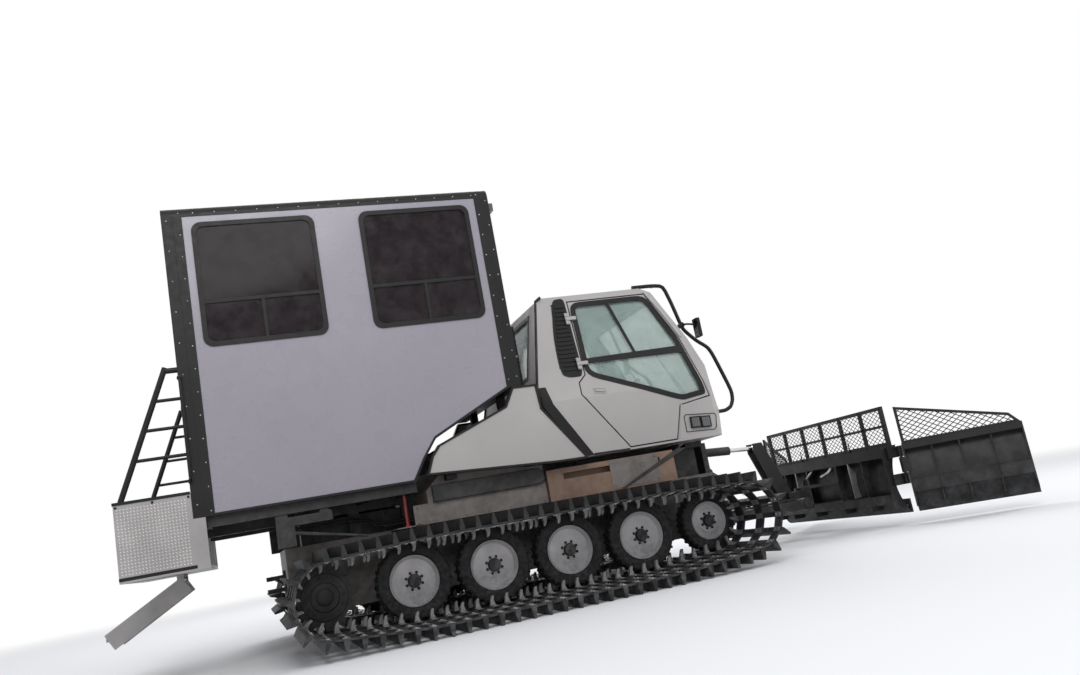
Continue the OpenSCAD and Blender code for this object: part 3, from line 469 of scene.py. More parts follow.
def make_sprocket_details():
    bm = bmesh.new()
    centre = row(0, 0, IDLER_Z)
    turned(bm, centre, (0, 1, 0), [(0.166, 0.898), (0.166, 0.905), (0.15, 0.912), (0.10, 0.914), (0.0755, 0.914),
                                   (0.0755, 0.898), (0.166, 0.898)], 48)
    turned(bm, centre, (0, 1, 0), [(0.0755, 1.172), (0.20, 1.172), (0.205, 1.178), (0.20, 1.184), (0.13, 1.190), (0.12, 1.205),
                                   (0.0755, 1.207), (0.0755, 1.172)], 64)
    turned(bm, centre, (0, 1, 0), [(0.073, 1.199), (0.073, 1.214), (0.06, 1.224), (0.03, 1.227)], 40)
    for k in range(14):
        a = 2 * math.pi * k / 14
        bolt(bm, centre + Vector((0.165 * math.cos(a), 1.187, 0.165 * math.sin(a))), (0, 1, 0), 0.011, 0.012)
        bolt(bm, centre + Vector((0.14 * math.cos(a), 0.9125, 0.14 * math.sin(a))), (0, 1, 0), 0.009, 0.010)
    both_sides(bm)
    finish("sprocket_hubs", bm, "cast_dark")


def shrink(outline, inset):
    """Moves each edge of an anticlockwise outline inward."""
    moved = []
    for i, (x, z) in enumerate(outline):
        normals = []
        for p, q in ((outline[i - 1], (x, z)), ((x, z), outline[(i + 1) % len(outline)])):
            length = math.hypot(q[0] - p[0], q[1] - p[1])
            normals.append((-(q[1] - p[1]) / length, (q[0] - p[0]) / length))
        (a, b), (c, d) = normals
        share = inset / (1 + a * c + b * d)
        moved.append((x + share * (a + c), z + share * (b + d)))
    return moved


def ring(bm, outline, inset, low, high, place=row, along="y"):
    """Band between an outline and its inset copy, from one depth to another."""
    order = {"y": lambda a, b, c: place(a, c, b), "x": lambda a, b, c: place(c, a, b)}[along]
    loops = [[bm.verts.new(order(a, b, c)) for a, b in line] for c in (low, high) for line in (outline, shrink(outline, inset))]
    outer_low, inner_low, outer_high, inner_high = loops
    count = len(outline)
    for i in range(count):
        j = (i + 1) % count
        for one, two in ((outer_low, outer_high), (outer_high, inner_high), (inner_high, inner_low), (inner_low, outer_low)):
            bm.faces.new((one[i], one[j], two[j], two[i]))


def mapped(bm, build, cuts, move):
    """Builds flat forms, cuts them where the surface bends, and moves them onto it."""
    flat = bmesh.new()
    build(flat, lambda x, y, z: Vector((x, y, z)))
    for z in cuts:
        bmesh.ops.bisect_plane(flat, geom=flat.verts[:] + flat.edges[:] + flat.faces[:], plane_co=(0, 0, z), plane_no=(0, 0, 1))
    bmesh.ops.triangulate(flat, faces=[f for f in flat.faces if len(f.verts) > 4])
    for vert in flat.verts:
        vert.co = move(*vert.co)
    mesh = bpy.data.meshes.new("flat")
    flat.to_mesh(mesh)
    flat.free()
    bm.from_mesh(mesh)
    bpy.data.meshes.remove(mesh)


def mesh_panel(bm, outline, place, wide, tall, radius=0.0032):
    """Diamond mesh of crossing strands, cut to a convex anticlockwise outline."""
    us = [u for u, v in outline]
    vs = [v for u, v in outline]
    slope = tall / wide
    reach = (max(vs) - min(vs)) / slope
    for lean in (1, -1):
        start = min(us) - reach if lean > 0 else min(us)
        for k in range(int((max(us) - min(us) + reach) / wide) + 2):
            origin = (start + k * wide, min(vs))
            heading = (lean, slope)
            enter, leave = 0.0, 1e9
            for i, (a, b) in enumerate(outline):
                c, d = outline[(i + 1) % len(outline)]
                normal = (-(d - b), c - a)
                pace = heading[0] * normal[0] + heading[1] * normal[1]
                gap = (a - origin[0]) * normal[0] + (b - origin[1]) * normal[1]
                if abs(pace) < 1e-9:
                    if gap > 0:
                        leave = -1
                elif pace > 0:
                    enter = max(enter, gap / pace)
                else:
                    leave = min(leave, gap / pace)
            if leave - enter > 0.004:
                ends = [(origin[0] + heading[0] * t, origin[1] + heading[1] * t, lean * radius * 0.6) for t in (enter, leave)]
                tube(bm, ends, radius, 4, place)


# Front blade

GUARD_X = 6.240
WING_HINGE = (6.310, 1.245)
WING_L = 1.250
WING_TURN = math.radians(45)


def on_wing(x, y, z):
    """From the wing as drawn along its hinge to the folded right wing."""
    c, s = math.cos(WING_TURN), math.sin(WING_TURN)
    x -= WING_HINGE[0]
    return row(WING_HINGE[0] + x * c - y * s, -WING_HINGE[1] + x * s + y * c, z)


def flipped(place):
    return lambda x, y, z: place(x, y, z) * Vector((1, -1, 1))


def make_blade_mesh():
    bm = bmesh.new()
    frame_bars = bmesh.new()
    for k in range(6):
        low, high = -1.2 + k * 0.4 + (0.04 if k == 0 else 0.015), -0.8 + k * 0.4 - (0.04 if k == 5 else 0.015)
        for bottom, top in ((0.920, 1.085), (1.115, 1.280)):
            mesh_panel(bm, [(low, bottom), (high, bottom), (high, top), (low, top)],
                       lambda u, v, w: row(GUARD_X + w, u, v), 0.080, 0.052, 0.0042)
        box(frame_bars, (GUARD_X - 0.012, low, 1.085), (GUARD_X + 0.012, high, 1.115))
    for y in (-0.8, -0.4, 0, 0.4, 0.8, -1.18, 1.18):
        for z in (0.9, 1.1, 1.3):
            bolt(frame_bars, row(6.22, y, z), (-1, 0, 0), 0.010, 0.009)
    for y in (-1.192, -0.5, 0.5, 1.192):
        prism(frame_bars, [(6.205, 0.880), (6.222, 0.880), (6.222, 1.02)], y - 0.006, y + 0.006)
    finish("blade_mesh", bm, "mesh_black", "blade", smooth=60)
    finish("blade_guard_bars", frame_bars, "blade_black", "blade", bevel=0.003)


def make_wing_guard(name, place, body):
    """Leaning frame and its mesh over a wing, with the wing's bolts, skids and end plate."""
    bars = bmesh.new()
    net = bmesh.new()
    skin = bmesh.new()
    outline = [(-0.050, 0.872), (-0.050, 1.285), (-1.15, 0.985), (-1.245, 0.872)]
    at = lambda x, y, z: place(x, y, z)
    ring(bars, outline, 0.030, 6.178, 6.206, at, "x")
    inner = shrink(outline, 0.029)
    mesh_panel(net, inner, lambda u, v, w: place(6.192 + w, u, v), 0.080, 0.052, 0.0045)
    for y in (-0.12, -0.42, -0.72, -1.02):
        bolt(bars, place(6.192, y, 0.8795), (0, 0, 1), 0.010, 0.008)
    for z in (0.155, 0.205):
        for k in range(12):
            y = -0.09 - k * 0.1
            bolt(bars, place(6.304, y, z), place(5.304, y, z) - place(6.304, y, z), 0.010, 0.009)
    box(bars, (6.162, -1.235, 0.405), (6.240, -0.065, 0.480), at)
    prism(bars, [(6.162, 0.345), (6.262, 0.345), (6.262, 0.400), (6.162, 0.405)], -1.235, -0.065, place=at)
    for y in (-0.34, -0.93):
        prism(bars, [(6.162, 0.22), (6.226, 0.20), (6.222, 0.44), (6.232, 0.62), (6.162, 0.80)], y - 0.007, y + 0.007, place=at)
    prism(skin, [(6.168, 0.215), (6.262, 0.205), (6.236, 0.50), (6.252, 0.80), (6.168, 0.872)], -1.2515, -1.2502, place=at)
    finish(name + "_guard", bars, "blade_black", body, bevel=0.003)
    finish(name + "_mesh", net, "mesh_black", body, smooth=60)
    finish(name + "_end_plate", skin, "worn_steel", body)


def make_blade_details():
    bm = bmesh.new()
    for z in (0.155, 0.205):
        for k in range(24):
            y = -1.15 + k * 0.1
            bolt(bm, row(6.304, y, z), (-1, 0, 0), 0.010, 0.009)
    for y in (-0.55, 0.55):
        prism(bm, [(6.10, 0.36), (6.19, 0.36), (6.215, 0.50), (6.20, 0.62), (6.10, 0.76)], y - 0.008, y + 0.008)
    for side in (-1, 1):
        tube(bm, [(6.14, side * 0.20, 0.765), (6.06, side * 0.20, 0.70), (5.98, side * 0.15, 0.665)], 0.014, 10)
    finish("blade_bolts", bm, "worn_steel", "blade", bevel=0.0)


# Landing and steps


def treadplate(bm, place, low, high, pitch=0.027, long=0.0125, wide=0.0050, tall=0.0018):
    """Raised lozenges in turned pairs over a rectangle."""
    columns, rows = int((high[0] - low[0]) / pitch), int((high[1] - low[1]) / pitch)
    for i in range(columns):
        for j in range(rows):
            u, v = low[0] + (i + 0.5) * pitch, low[1] + (j + 0.5) * pitch
            turn = math.pi / 4 if (i + j) % 2 else -math.pi / 4
            c, s = math.cos(turn), math.sin(turn)
            base = [(long, 0), (0, wide), (-long, 0), (0, -wide)]
            rings = [[bm.verts.new(place(u + share * (a * c - b * s), v + share * (a * s + b * c), lift)) for a, b in base]
                     for share, lift in ((1.0, -0.0006), (0.72, tall))]
            bm.faces.new(rings[1])
            for k in range(4):
                bm.faces.new((rings[0][k], rings[0][(k + 1) % 4], rings[1][(k + 1) % 4], rings[1][k]))


def make_landing():
    bm = bmesh.new()
    trim = bmesh.new()
    treadplate(bm, lambda u, v, w: row(u, -1.2 - w, v), (-1.605, 0.955), (-1.015, 1.54))
    box(trim, (-1.626, -1.206, 1.548), (-1.004, -1.174, 1.574))
    box(trim, (-1.622, -1.203, 0.918), (-1.006, -1.1995, 0.946))
    for x in (-1.60, -1.31, -1.02):
        for z in (0.932, 1.53):
            bolt(trim, row(x, -1.2025, z), (0, -1, 0), 0.009, 0.007)
    both_sides(bm)
    both_sides(trim)
    treadplate(bm, lambda u, v, w: row(u, v, 0.930 + w), (-1.61, -1.17), (-1.0, 1.17), pitch=0.034)
    finish("landing_pattern", bm, "tread_bright", smooth=20)
    finish("landing_edges", trim, "cabin_black", bevel=0.003)
    steps = bmesh.new()
    for u in (0.26, 0.57, 0.88):
        x, z = -1.2 - 0.67 * u, 0.85 - 0.38 * u
        treadplate(steps, lambda a, b, w, z=z: row(a, b, z - 0.060 + w), (x - 0.075, -0.325), (x + 0.085, 0.325), pitch=0.032)
    finish("steps_pattern", steps, "tread_bright", "steps", smooth=20)


# Sides of the machine that the plain solids leave out, and a black block of painted shade above the fender plates


def make_side_parts_and_shade_band():
    plates = bmesh.new()
    shade_band_and_boxes = bmesh.new()
    box(plates, (0.91, 1.0605, 0.938), (2.24, 1.074, 1.128))
    box(plates, (0.74, 0.6405, 0.9362), (0.979, 1.074, 0.948))
    for x in (0.95, 1.4, 1.85, 2.2):
        for z in (0.965, 1.10):
            bolt(plates, row(x, 1.074, z), (0, 1, 0), 0.010, 0.008)
    # Black block painted as the shade of the recessed hood side above the fender plates; it stands where there is only
    # shade, not a real box
    prism(shade_band_and_boxes, [(1.11, 1.129), (2.18, 1.129), (2.23, 1.165), (2.23, 1.235), (2.18, 1.282), (1.11, 1.282)], 1.0605, 1.11)
    prism(shade_band_and_boxes, [(-0.33, 0.95), (-0.17, 0.95), (-0.17, 1.052), (0.46, 0.925), (0.46, 0.945), (-0.17, 1.085), (-0.17, 1.13),
                  (0.17, 1.13), (0.17, 1.215), (0.12, 1.2447), (0.07, 1.2447), (0.05, 1.215), (-0.22, 1.215), (-0.22, 1.2447),
                  (-0.33, 1.2447)], 1.06, 1.13)
    prism(shade_band_and_boxes, [(3.00, 0.945), (3.06, 0.945), (3.80, 1.235), (3.80, 1.290)], 1.1205, 1.134)
    box(shade_band_and_boxes, (3.72, 0.62, 1.235), (3.80, 1.134, 1.290))
    both_sides(plates)
    both_sides(shade_band_and_boxes)
    finish("fender_plates", plates, "hull_grey", bevel=0.003)
    # This piece holds the side boxes and the black block of painted shade above the fender plates
    finish("side_boxes_and_shade_band", shade_band_and_boxes, "chassis_black", bevel=0.006)
    patches = bmesh.new()
    prism(patches, [(2.92, 0.952), (3.46, 0.952), (3.46, 1.236), (2.92, 1.236)], 1.1203, 1.1245)
    for x in (2.95, 3.43):
        for z in (0.98, 1.21):
            bolt(patches, row(x, 1.1245, z), (0, 1, 0), 0.010, 0.008)
    turned(patches, row(3.28, 1.1244, 1.15), (0, 1, 0), [(0.030, 0), (0.030, 0.004), (0.018, 0.006), (0.016, 0.001)], 24)
    both_sides(patches)
    finish("tank_plates", patches, "hull_grey", bevel=0.001)
    tank = bmesh.new()
    box(tank, (-0.09, -0.44, 0.9505), (1.0, 0.44, 1.165))
    turned(tank, row(0.08, 0.25, 1.164), (0, 0, 1), [(0.05, 0), (0.05, 0.012), (0.042, 0.016), (0.042, 0.030), (0.036, 0.034)], 24)
    for x in (0.2, 0.7):
        box(tank, (x, -0.446, 0.952), (x + 0.04, 0.446, 1.170))
    finish("hydraulic_tank", tank, "chassis_black", bevel=0.006)
    pipes = bmesh.new()
    for k, (y, z) in enumerate(((0.655, 1.00), (0.675, 1.03), (0.70, 1.00))):
        tube(pipes, [(0.99, y, z), (0.72, y, z), (0.60, y, z + 0.02), (0.50, y - 0.03, z + 0.09), (0.30, y - 0.05, z + 0.11),
                     (-0.10, y - 0.05, z + 0.10), (-0.16, y - 0.06, z + 0.04), (-0.17, y - 0.06, 0.951)], 0.011, 10)
    for x in (0.68, 0.36, 0.02):
        box(pipes, (x, 0.56, 0.951), (x + 0.03, 0.60, 1.09))
        box(pipes, (x, 0.59, 1.09 if x < 0.6 else 0.99), (x + 0.03, 0.71, 1.10 if x < 0.6 else 1.0))
    both_sides(pipes)
    finish("deck_pipes", pipes, "cast_dark", bevel=0.001)
    strut = bmesh.new()
    tube(strut, [(0.87, 0.90, 0.948), (0.87, 0.90, 1.246)], 0.018, 12)
    turned(strut, row(0.87, 0.90, 0.948), (0, 0, 1), [(0.034, 0.0005), (0.034, 0.010), (0.022, 0.014), (0.022, 0.03)], 16)
    both_sides(strut)
    finish("red_struts", strut, "strut_red")


# Driver's cab


def cab_y(z):
    """Distance of the cab's side from the middle, at a height."""
    return 1.12 + 0.04918 * (z - 1.29) if z < 1.9 else 1.15 - 0.17925 * (z - 1.9)


CAB_FRONT = [(1.31, 4.310), (1.595, 4.400), (1.640, 4.368), (1.895, 4.280), (2.400, 4.115), (2.965, 3.850), (3.04, 3.760)]


def cab_front_x(z):
    for (low, x0), (high, x1) in zip(CAB_FRONT, CAB_FRONT[1:]):
        if z <= high:
            return x0 + (x1 - x0) * (z - low) / (high - low)
    return CAB_FRONT[-1][1]


DOOR_WINDOW = [(2.895, 2.150), (3.868, 1.760), (4.120, 1.790), (3.980, 2.385), (3.740, 2.905), (2.915, 2.905)]
DOOR_OPENING = [(3.190, 1.330), (3.735, 1.330), (3.836, 1.675), (4.200, 1.730), (4.035, 2.385), (3.770, 2.960), (2.860, 2.960),
                (2.850, 2.140), (2.765, 2.064), (2.759, 1.930)]
VENT = [(2.690, 2.125), (2.842, 2.125), (2.832, 2.680), (2.842, 3.000), (2.701, 2.990), (2.622, 2.584), (2.601, 2.300), (2.615, 2.160)]


def rounded(line, share=0.3):
    """Rounds the corners of a line of points."""
    points = [line[0]]
    for (a, b), (c, d), (e, f) in zip(line, line[1:], line[2:]):
        for t in (0.0, 0.5, 1.0):
            before = (c + (a - c) * share * (1 - t), d + (b - d) * share * (1 - t))
            after = (c + (e - c) * share * t, d + (f - d) * share * t)
            points.append((before[0] * (1 - t) + after[0] * t, before[1] * (1 - t) + after[1] * t))
    return points + [line[-1]]


def rounded_loop(points, share=0.13):
    """Rounds the corners of a closed outline."""
    corners = []
    for k, (c, d) in enumerate(points):
        a, b = points[k - 1]
        e, f = points[(k + 1) % len(points)]
        for t in (0.0, 0.25, 0.5, 0.75, 1.0):
            before = (c + (a - c) * share * (1 - t), d + (b - d) * share * (1 - t))
            after = (c + (e - c) * share * t, d + (f - d) * share * t)
            corners.append((before[0] * (1 - t) + after[0] * t, before[1] * (1 - t) + after[1] * t))
    return corners


def on_side(side):
    """Onto the cab's side, where y counts outward from its surface."""
    return lambda x, y, z: row(x, side * (cab_y(z) + y), z)


def make_door_trim(name, side, body):
    seals = bmesh.new()
    mapped(seals, lambda bm, p: ring(bm, rounded_loop(shrink(DOOR_WINDOW, -0.034)), 0.056, 0.0003, 0.0045, p), (1.9,), on_side(side))
    mapped(seals, lambda bm, p: prism(bm, [(3.285, 2.91), (3.452, 2.30), (3.486, 2.30), (3.322, 2.91)], 0.0003, 0.006, place=p),
           (), on_side(side))
    mapped(seals, lambda bm, p: prism(bm, [(2.905, 2.252), (4.02, 2.240), (4.00, 2.322), (2.905, 2.308)], 0.0003, 0.007, place=p),
           (), on_side(side))
    mapped(seals, lambda bm, p: ring(bm, shrink(DOOR_OPENING, 0.003), 0.0114, -0.036, -0.012, p), (1.9,), on_side(side))
    finish(name + "_seals", seals, "seal_rubber", body, bevel=0.001)
    grip = bmesh.new()
    mapped(grip, lambda bm, p: ring(bm, [(2.905, 1.930), (3.035, 1.910), (3.035, 1.968), (2.905, 1.988)], 0.006, 0.0003, 0.005, p),
           (), on_side(side))
    mapped(grip, lambda bm, p: prism(bm, [(2.918, 1.948), (3.018, 1.932), (3.018, 1.952), (2.918, 1.968)], 0.0003, 0.012, place=p),
           (), on_side(side))
    finish(name + "_handle", grip, "silver_paint", body, bevel=0.001)
    skin = bmesh.new()
    mapped(skin, lambda bm, p: prism(bm, [(3.755, 1.338), (3.767, 1.338), (3.842, 1.640), (3.852, 1.700), (3.838, 1.700)], 0.0004,
                                     0.0045, place=p), (), on_side(side))
    finish(name + "_crease", skin, "silver_paint", body, bevel=0.001)


def make_cab_trim():
    black = bmesh.new()
    silver = bmesh.new()
    bright = bmesh.new()
    mirrors = bmesh.new()
    rails = bmesh.new()
    for side in (-1, 1):
        at = on_side(side)
        line = [(3.70, 3.0615), (3.945, 3.0615), (4.075, 3.045), (4.135, 2.84), (4.185, 2.621), (4.21, 2.53), (4.333, 2.394), (4.46, 2.30),
                (4.50, 2.22), (4.551, 2.06), (4.635, 1.78), (4.625, 1.68), (4.585, 1.61), (4.512, 1.577), (4.395, 1.577)]
        tube(rails, [(x, side * 0.85, z) for x, z in rounded(line)], 0.021, 14)
        for x in (3.74, 3.93):
            box(rails, (x, side * 0.87, 3.0395), (x + 0.03, side * 0.83, 3.060))
        turned(rails, row(4.394, side * 0.85, 1.577), (1, 0, 0.1), [(0.040, 0), (0.040, 0.008), (0.024, 0.014)], 20)
        mapped(black, lambda bm, p: prism(bm, rounded_loop(VENT, 0.3), 0.0004, 0.0035, place=p), (), at)
        for k in range(16):
            z = 2.20 + k * 0.046
            lean = 2.625 + abs(z - 2.35) * 0.16
            mapped(black, lambda bm, p: prism(bm, [(lean, z), (2.815, z), (2.815, z + 0.018), (lean, z + 0.018)], 0.003, 0.014, place=p),
                   (), at)
        mapped(black, lambda bm, p: prism(bm, [(2.330, 2.060), (2.342, 1.850), (2.680, 1.316), (2.785, 1.316), (2.440, 1.880), (2.400, 2.060)],
                                          0.0004, 0.008, place=p), (1.9,), at)
        mapped(black, lambda bm, p: prism(bm, [(2.785, 1.3125), (3.18, 1.3125), (3.18, 1.326), (2.785, 1.334)], 0.0004, 0.006, place=p), (), at)
        mapped(black, lambda bm, p: ring(bm, [(3.845, 1.390), (4.175, 1.372), (4.205, 1.400), (4.225, 1.520), (4.205, 1.545), (3.870, 1.575),
                                              (3.845, 1.555)], 0.007, 0.0004, 0.005, p), (), at)
        for x in (3.960, 4.080):
            z = 1.48 if x < 4 else 1.47
            mapped(black, lambda bm, p: prism(bm, [(x - 0.054, z - 0.058), (x + 0.054, z - 0.062), (x + 0.056, z + 0.056), (x - 0.052, z + 0.062)],
                                              0.0004, 0.0065, place=p), (), at)
        for x in (3.960, 4.080):
            z = 1.48 if x < 4 else 1.47
            face = [(x - 0.055, z - 0.055), (x + 0.055, z - 0.060), (x + 0.057, z + 0.056), (x - 0.053, z + 0.062)]
            out = lambda x, y, z: row(x, side * y, z)
            ring(black, face, 0.011, 1.128, 1.1590, out)
            prism(bright, shrink(face, 0.0115), 1.1545, 1.1562, place=out)
            for k in range(3):
                prism(black, [(x - 0.03 + k * 0.024, z - 0.045), (x - 0.027 + k * 0.024, z - 0.045), (x - 0.027 + k * 0.024, z + 0.045),
                              (x - 0.03 + k * 0.024, z + 0.045)], 1.1558, 1.1572, place=out)
        for line in ([(2.353, 1.868), (2.330, 2.060), (2.540, 3.000), (2.600, 3.040)],):
            tube(black, [(x - 0.004, side * (cab_y(z) - 0.028), z) for x, z in line], 0.016, 10)
        tube(silver, [(3.775, side * (cab_y(2.945) + 0.0), 2.97), (3.905, side * (cab_y(2.72) + 0.0), 2.73),
                      (4.045, side * (cab_y(2.40) + 0.0), 2.42)], 0.017, 10)
        # Mirror on its arm
        turned(black, row(4.195, side * 0.85, 2.58), (0, side, 0), [(0.030, -0.026), (0.034, -0.022), (0.034, 0.022), (0.030, 0.026)], 20)
        tube(black, [(4.195, side * 0.85, 2.58), (4.235, side * 0.89, 2.58), (4.27, side * 0.95, 2.56), (4.285, side * 1.01, 2.53)], 0.011, 10)
        outline = [(-0.048, -0.105), (0.048, -0.105), (0.058, -0.095), (0.058, 0.095), (0.048, 0.105), (-0.048, 0.105), (-0.058, 0.095),
                   (-0.058, -0.095)]
        prism(black, [(side * 1.01 + y, 2.50 + z) for y, z in outline], 4.282, 4.315, "x")
        prism(mirrors, [(side * 1.01 + y * 0.88, 2.50 + z * 0.92) for y, z in outline], 4.2795, 4.2825, "x")
    front = bmesh.new()
    mapped(front, lambda bm, p: ring(bm, [(-0.84, 1.66), (0.84, 1.66), (0.82, 2.918), (-0.82, 2.918)], 0.045, 0.0004, 0.007, p, "x"),
           (1.895, 2.4), lambda x, y, z: row(cab_front_x(z) + x, y, z))
    for y, swing in ((-0.42, 0.34), (0.40, 0.34)):
        base = (cab_front_x(1.66) + 0.022, y, 1.655)
        tip = (cab_front_x(2.15) + 0.020, y + swing * 0.3, 2.15)
        turned(front, row(*base) - Vector((0.024, 0, 0)), (1, 0, 0.3), [(0.022, 0), (0.022, 0.024), (0.014, 0.030)], 16)
        tube(front, [base, (cab_front_x(1.90) + 0.026, y + swing * 0.12, 1.90), tip], 0.0065, 8)
        tube(front, [(cab_front_x(1.76) + 0.012, y - 0.02 + swing * 0.2, 1.76), (cab_front_x(2.12) + 0.012, y + 0.02 + swing * 0.3, 2.12),
                     (cab_front_x(2.50) + 0.012, y + 0.06 + swing * 0.4, 2.50)], 0.007, 8)
    finish("windscreen_seals", front, "seal_rubber", bevel=0.001)
    rear = bmesh.new()

    def rear_x(z):
        return 2.330 + (z - 2.060) * 0.2234
    mapped(rear, lambda bm, p: ring(bm, [(-0.735, 2.215), (0.735, 2.215), (0.685, 2.915), (-0.685, 2.915)], 0.040, -0.006, -0.0004, p, "x"),
           (), lambda x, y, z: row(rear_x(z) + x, y, z))
    finish("rear_window_seal", rear, "seal_rubber", bevel=0.001)
    finish("cab_black_trim", black, "cabin_black", bevel=0.0015)
    finish("cab_rails", rails, "cabin_black", replaces=("guard_rails",))
    finish("mirror_glasses", mirrors, "mirror_dark")
    finish("cab_silver_trim", silver, "bright_trim")
    finish("cab_lenses", bright, "lamp_lens")
    wheel = bmesh.new()
    turned(wheel, row(3.83, 0.0, 2.02), (-0.8, 0, 0.6), [(0.172, -0.010), (0.184, -0.010), (0.190, 0.0), (0.184, 0.010), (0.172, 0.010),
                                                        (0.166, 0.0), (0.172, -0.010)], 40)
    tube(wheel, [(4.05, 0, 1.56), (3.95, 0, 1.85), (3.845, 0, 2.01)], 0.026, 12)
    for a in (0.5, 2.6, 4.7):
        side = Vector((0.6 * math.sin(a), math.cos(a), 0.8 * math.sin(a))) * 0.17
        tube(wheel, [(3.835, 0, 2.013), (3.83 + side.x, side.y, 2.02 + side.z)], 0.011, 8)
    box(wheel, (3.98, -0.34, 1.561), (4.17, 0.34, 1.64))
    for y in (-0.22, -0.08, 0.08, 0.22):
        turned(wheel, row(3.985, y, 1.61), (-0.9, 0, 0.4), [(0.032, 0), (0.032, 0.006), (0.028, 0.010), (0.026, 0.006)], 20)
    finish("driving_controls", wheel, "chassis_black", bevel=0.003)


# Passenger cabin


def make_cabin_trim():
    rivets = bmesh.new()
    seals = bmesh.new()
    rails = bmesh.new()
    for side in (-1, 1):
        def rivet_line(start, end, count):
            for k in range(count + 1):
                t = k / count
                turned(rivets, row(start[0] + (end[0] - start[0]) * t, side * 1.2, start[1] + (end[1] - start[1]) * t),
                       (0, side, 0), [(0.0065, -0.0003), (0.006, 0.001), (0.0035, 0.0024)], 8)
        for start, end, count in (((-0.848, 1.38), (-0.848, 4.12), 13), ((-0.955, 1.45), (-0.955, 4.05), 9),
                                  ((-0.72, 4.115), (1.96, 4.115), 14), ((2.012, 2.18), (2.012, 4.12), 9),
                                  ((2.10, 2.20), (2.10, 4.05), 7)):
            rivet_line(start, end, count)
        for low, high in ((-0.752, 0.364), (0.787, 1.903)):
            box(seals, (high - 0.30, side * 1.2072, 2.868), (high - 0.19, side * 1.2105, 2.880))
        box(seals, (-0.905, side * 1.2, 1.36), (-0.899, side * 1.2015, 4.08))
        box(seals, (2.068, side * 1.2, 2.16), (2.074, side * 1.2015, 4.08))
        tube(rails, [(-0.985, side * 1.203, 1.66), (-0.985, side * 1.252, 1.68), (-0.985, side * 1.256, 1.74),
                     (-0.985, side * 1.256, 2.50), (-0.985, side * 1.252, 2.56), (-0.985, side * 1.203, 2.58)], 0.013, 12)
        for z in (1.66, 2.58):
            turned(rails, row(-0.985, side * 1.2, z), (0, side, 0), [(0.026, -0.003), (0.026, 0.005), (0.018, 0.009)], 16)
    for k in range(26):
        for y in (-1.02, 1.02):
            turned(rivets, row(-0.9952, y, 1.44 + k * 0.10), (-1, 0, 0), [(0.0065, -0.0003), (0.006, 0.001), (0.0035, 0.0024)], 8)
    for k in range(22):
        for y in (-1.02, 1.02):
            turned(rivets, row(-0.82 + k * 0.128, y, 4.1850), (0, 0, 1), [(0.0065, -0.0003), (0.006, 0.001), (0.0035, 0.0024)], 8)
    finish("cabin_rivets", rivets, "worn_steel")
    finish("cabin_seams", seals, "seal_rubber", bevel=0.001)
    finish("cabin_grab_rails", rails, "cabin_black")
    door = bmesh.new()
    ring(door, [(-0.25, 2.680), (0.25, 2.680), (0.25, 3.270), (-0.25, 3.270)], 0.035, -1.003, -0.9952, along="x")
    box(door, (-1.006, -0.345, 2.34), (-0.9952, -0.275, 2.52))
    tube(door, [(-1.003, -0.31, 2.50), (-1.030, -0.31, 2.49), (-1.034, -0.31, 2.43), (-1.030, -0.31, 2.37), (-1.003, -0.31, 2.36)], 0.009, 10)
    ring(door, [(-0.365, 1.424), (0.365, 1.424), (0.365, 3.406), (-0.365, 3.406)], 0.012, -0.9975, -0.9952, along="x")
    finish("cabin_door_trim", door, "seal_rubber", "cabin_door", bevel=0.001)
    pane = bmesh.new()
    box(pane, (-0.985, -0.229, 2.701), (-0.979, 0.229, 3.249))
    finish("cabin_door_pane", pane, "cabin_glass", "cabin_door", bevel=0.001)
    cap = bmesh.new()
    turned(cap, row(2.240, -0.800, 2.78), (0, 0, 1), [(0.0385, 0.0), (0.047, 0.0), (0.047, 0.018), (0.0405, 0.020), (0.0385, 0.0)], 32)
    for z in (1.76, 2.10, 2.45):
        turned(cap, row(2.240, -0.800, z), (0, 0, 1), [(0.0452, 0.0), (0.052, 0.0), (0.052, 0.022), (0.0452, 0.022), (0.0452, 0.0)], 32)
    finish("exhaust_clamps", cap, "worn_steel")


# Seats and benches


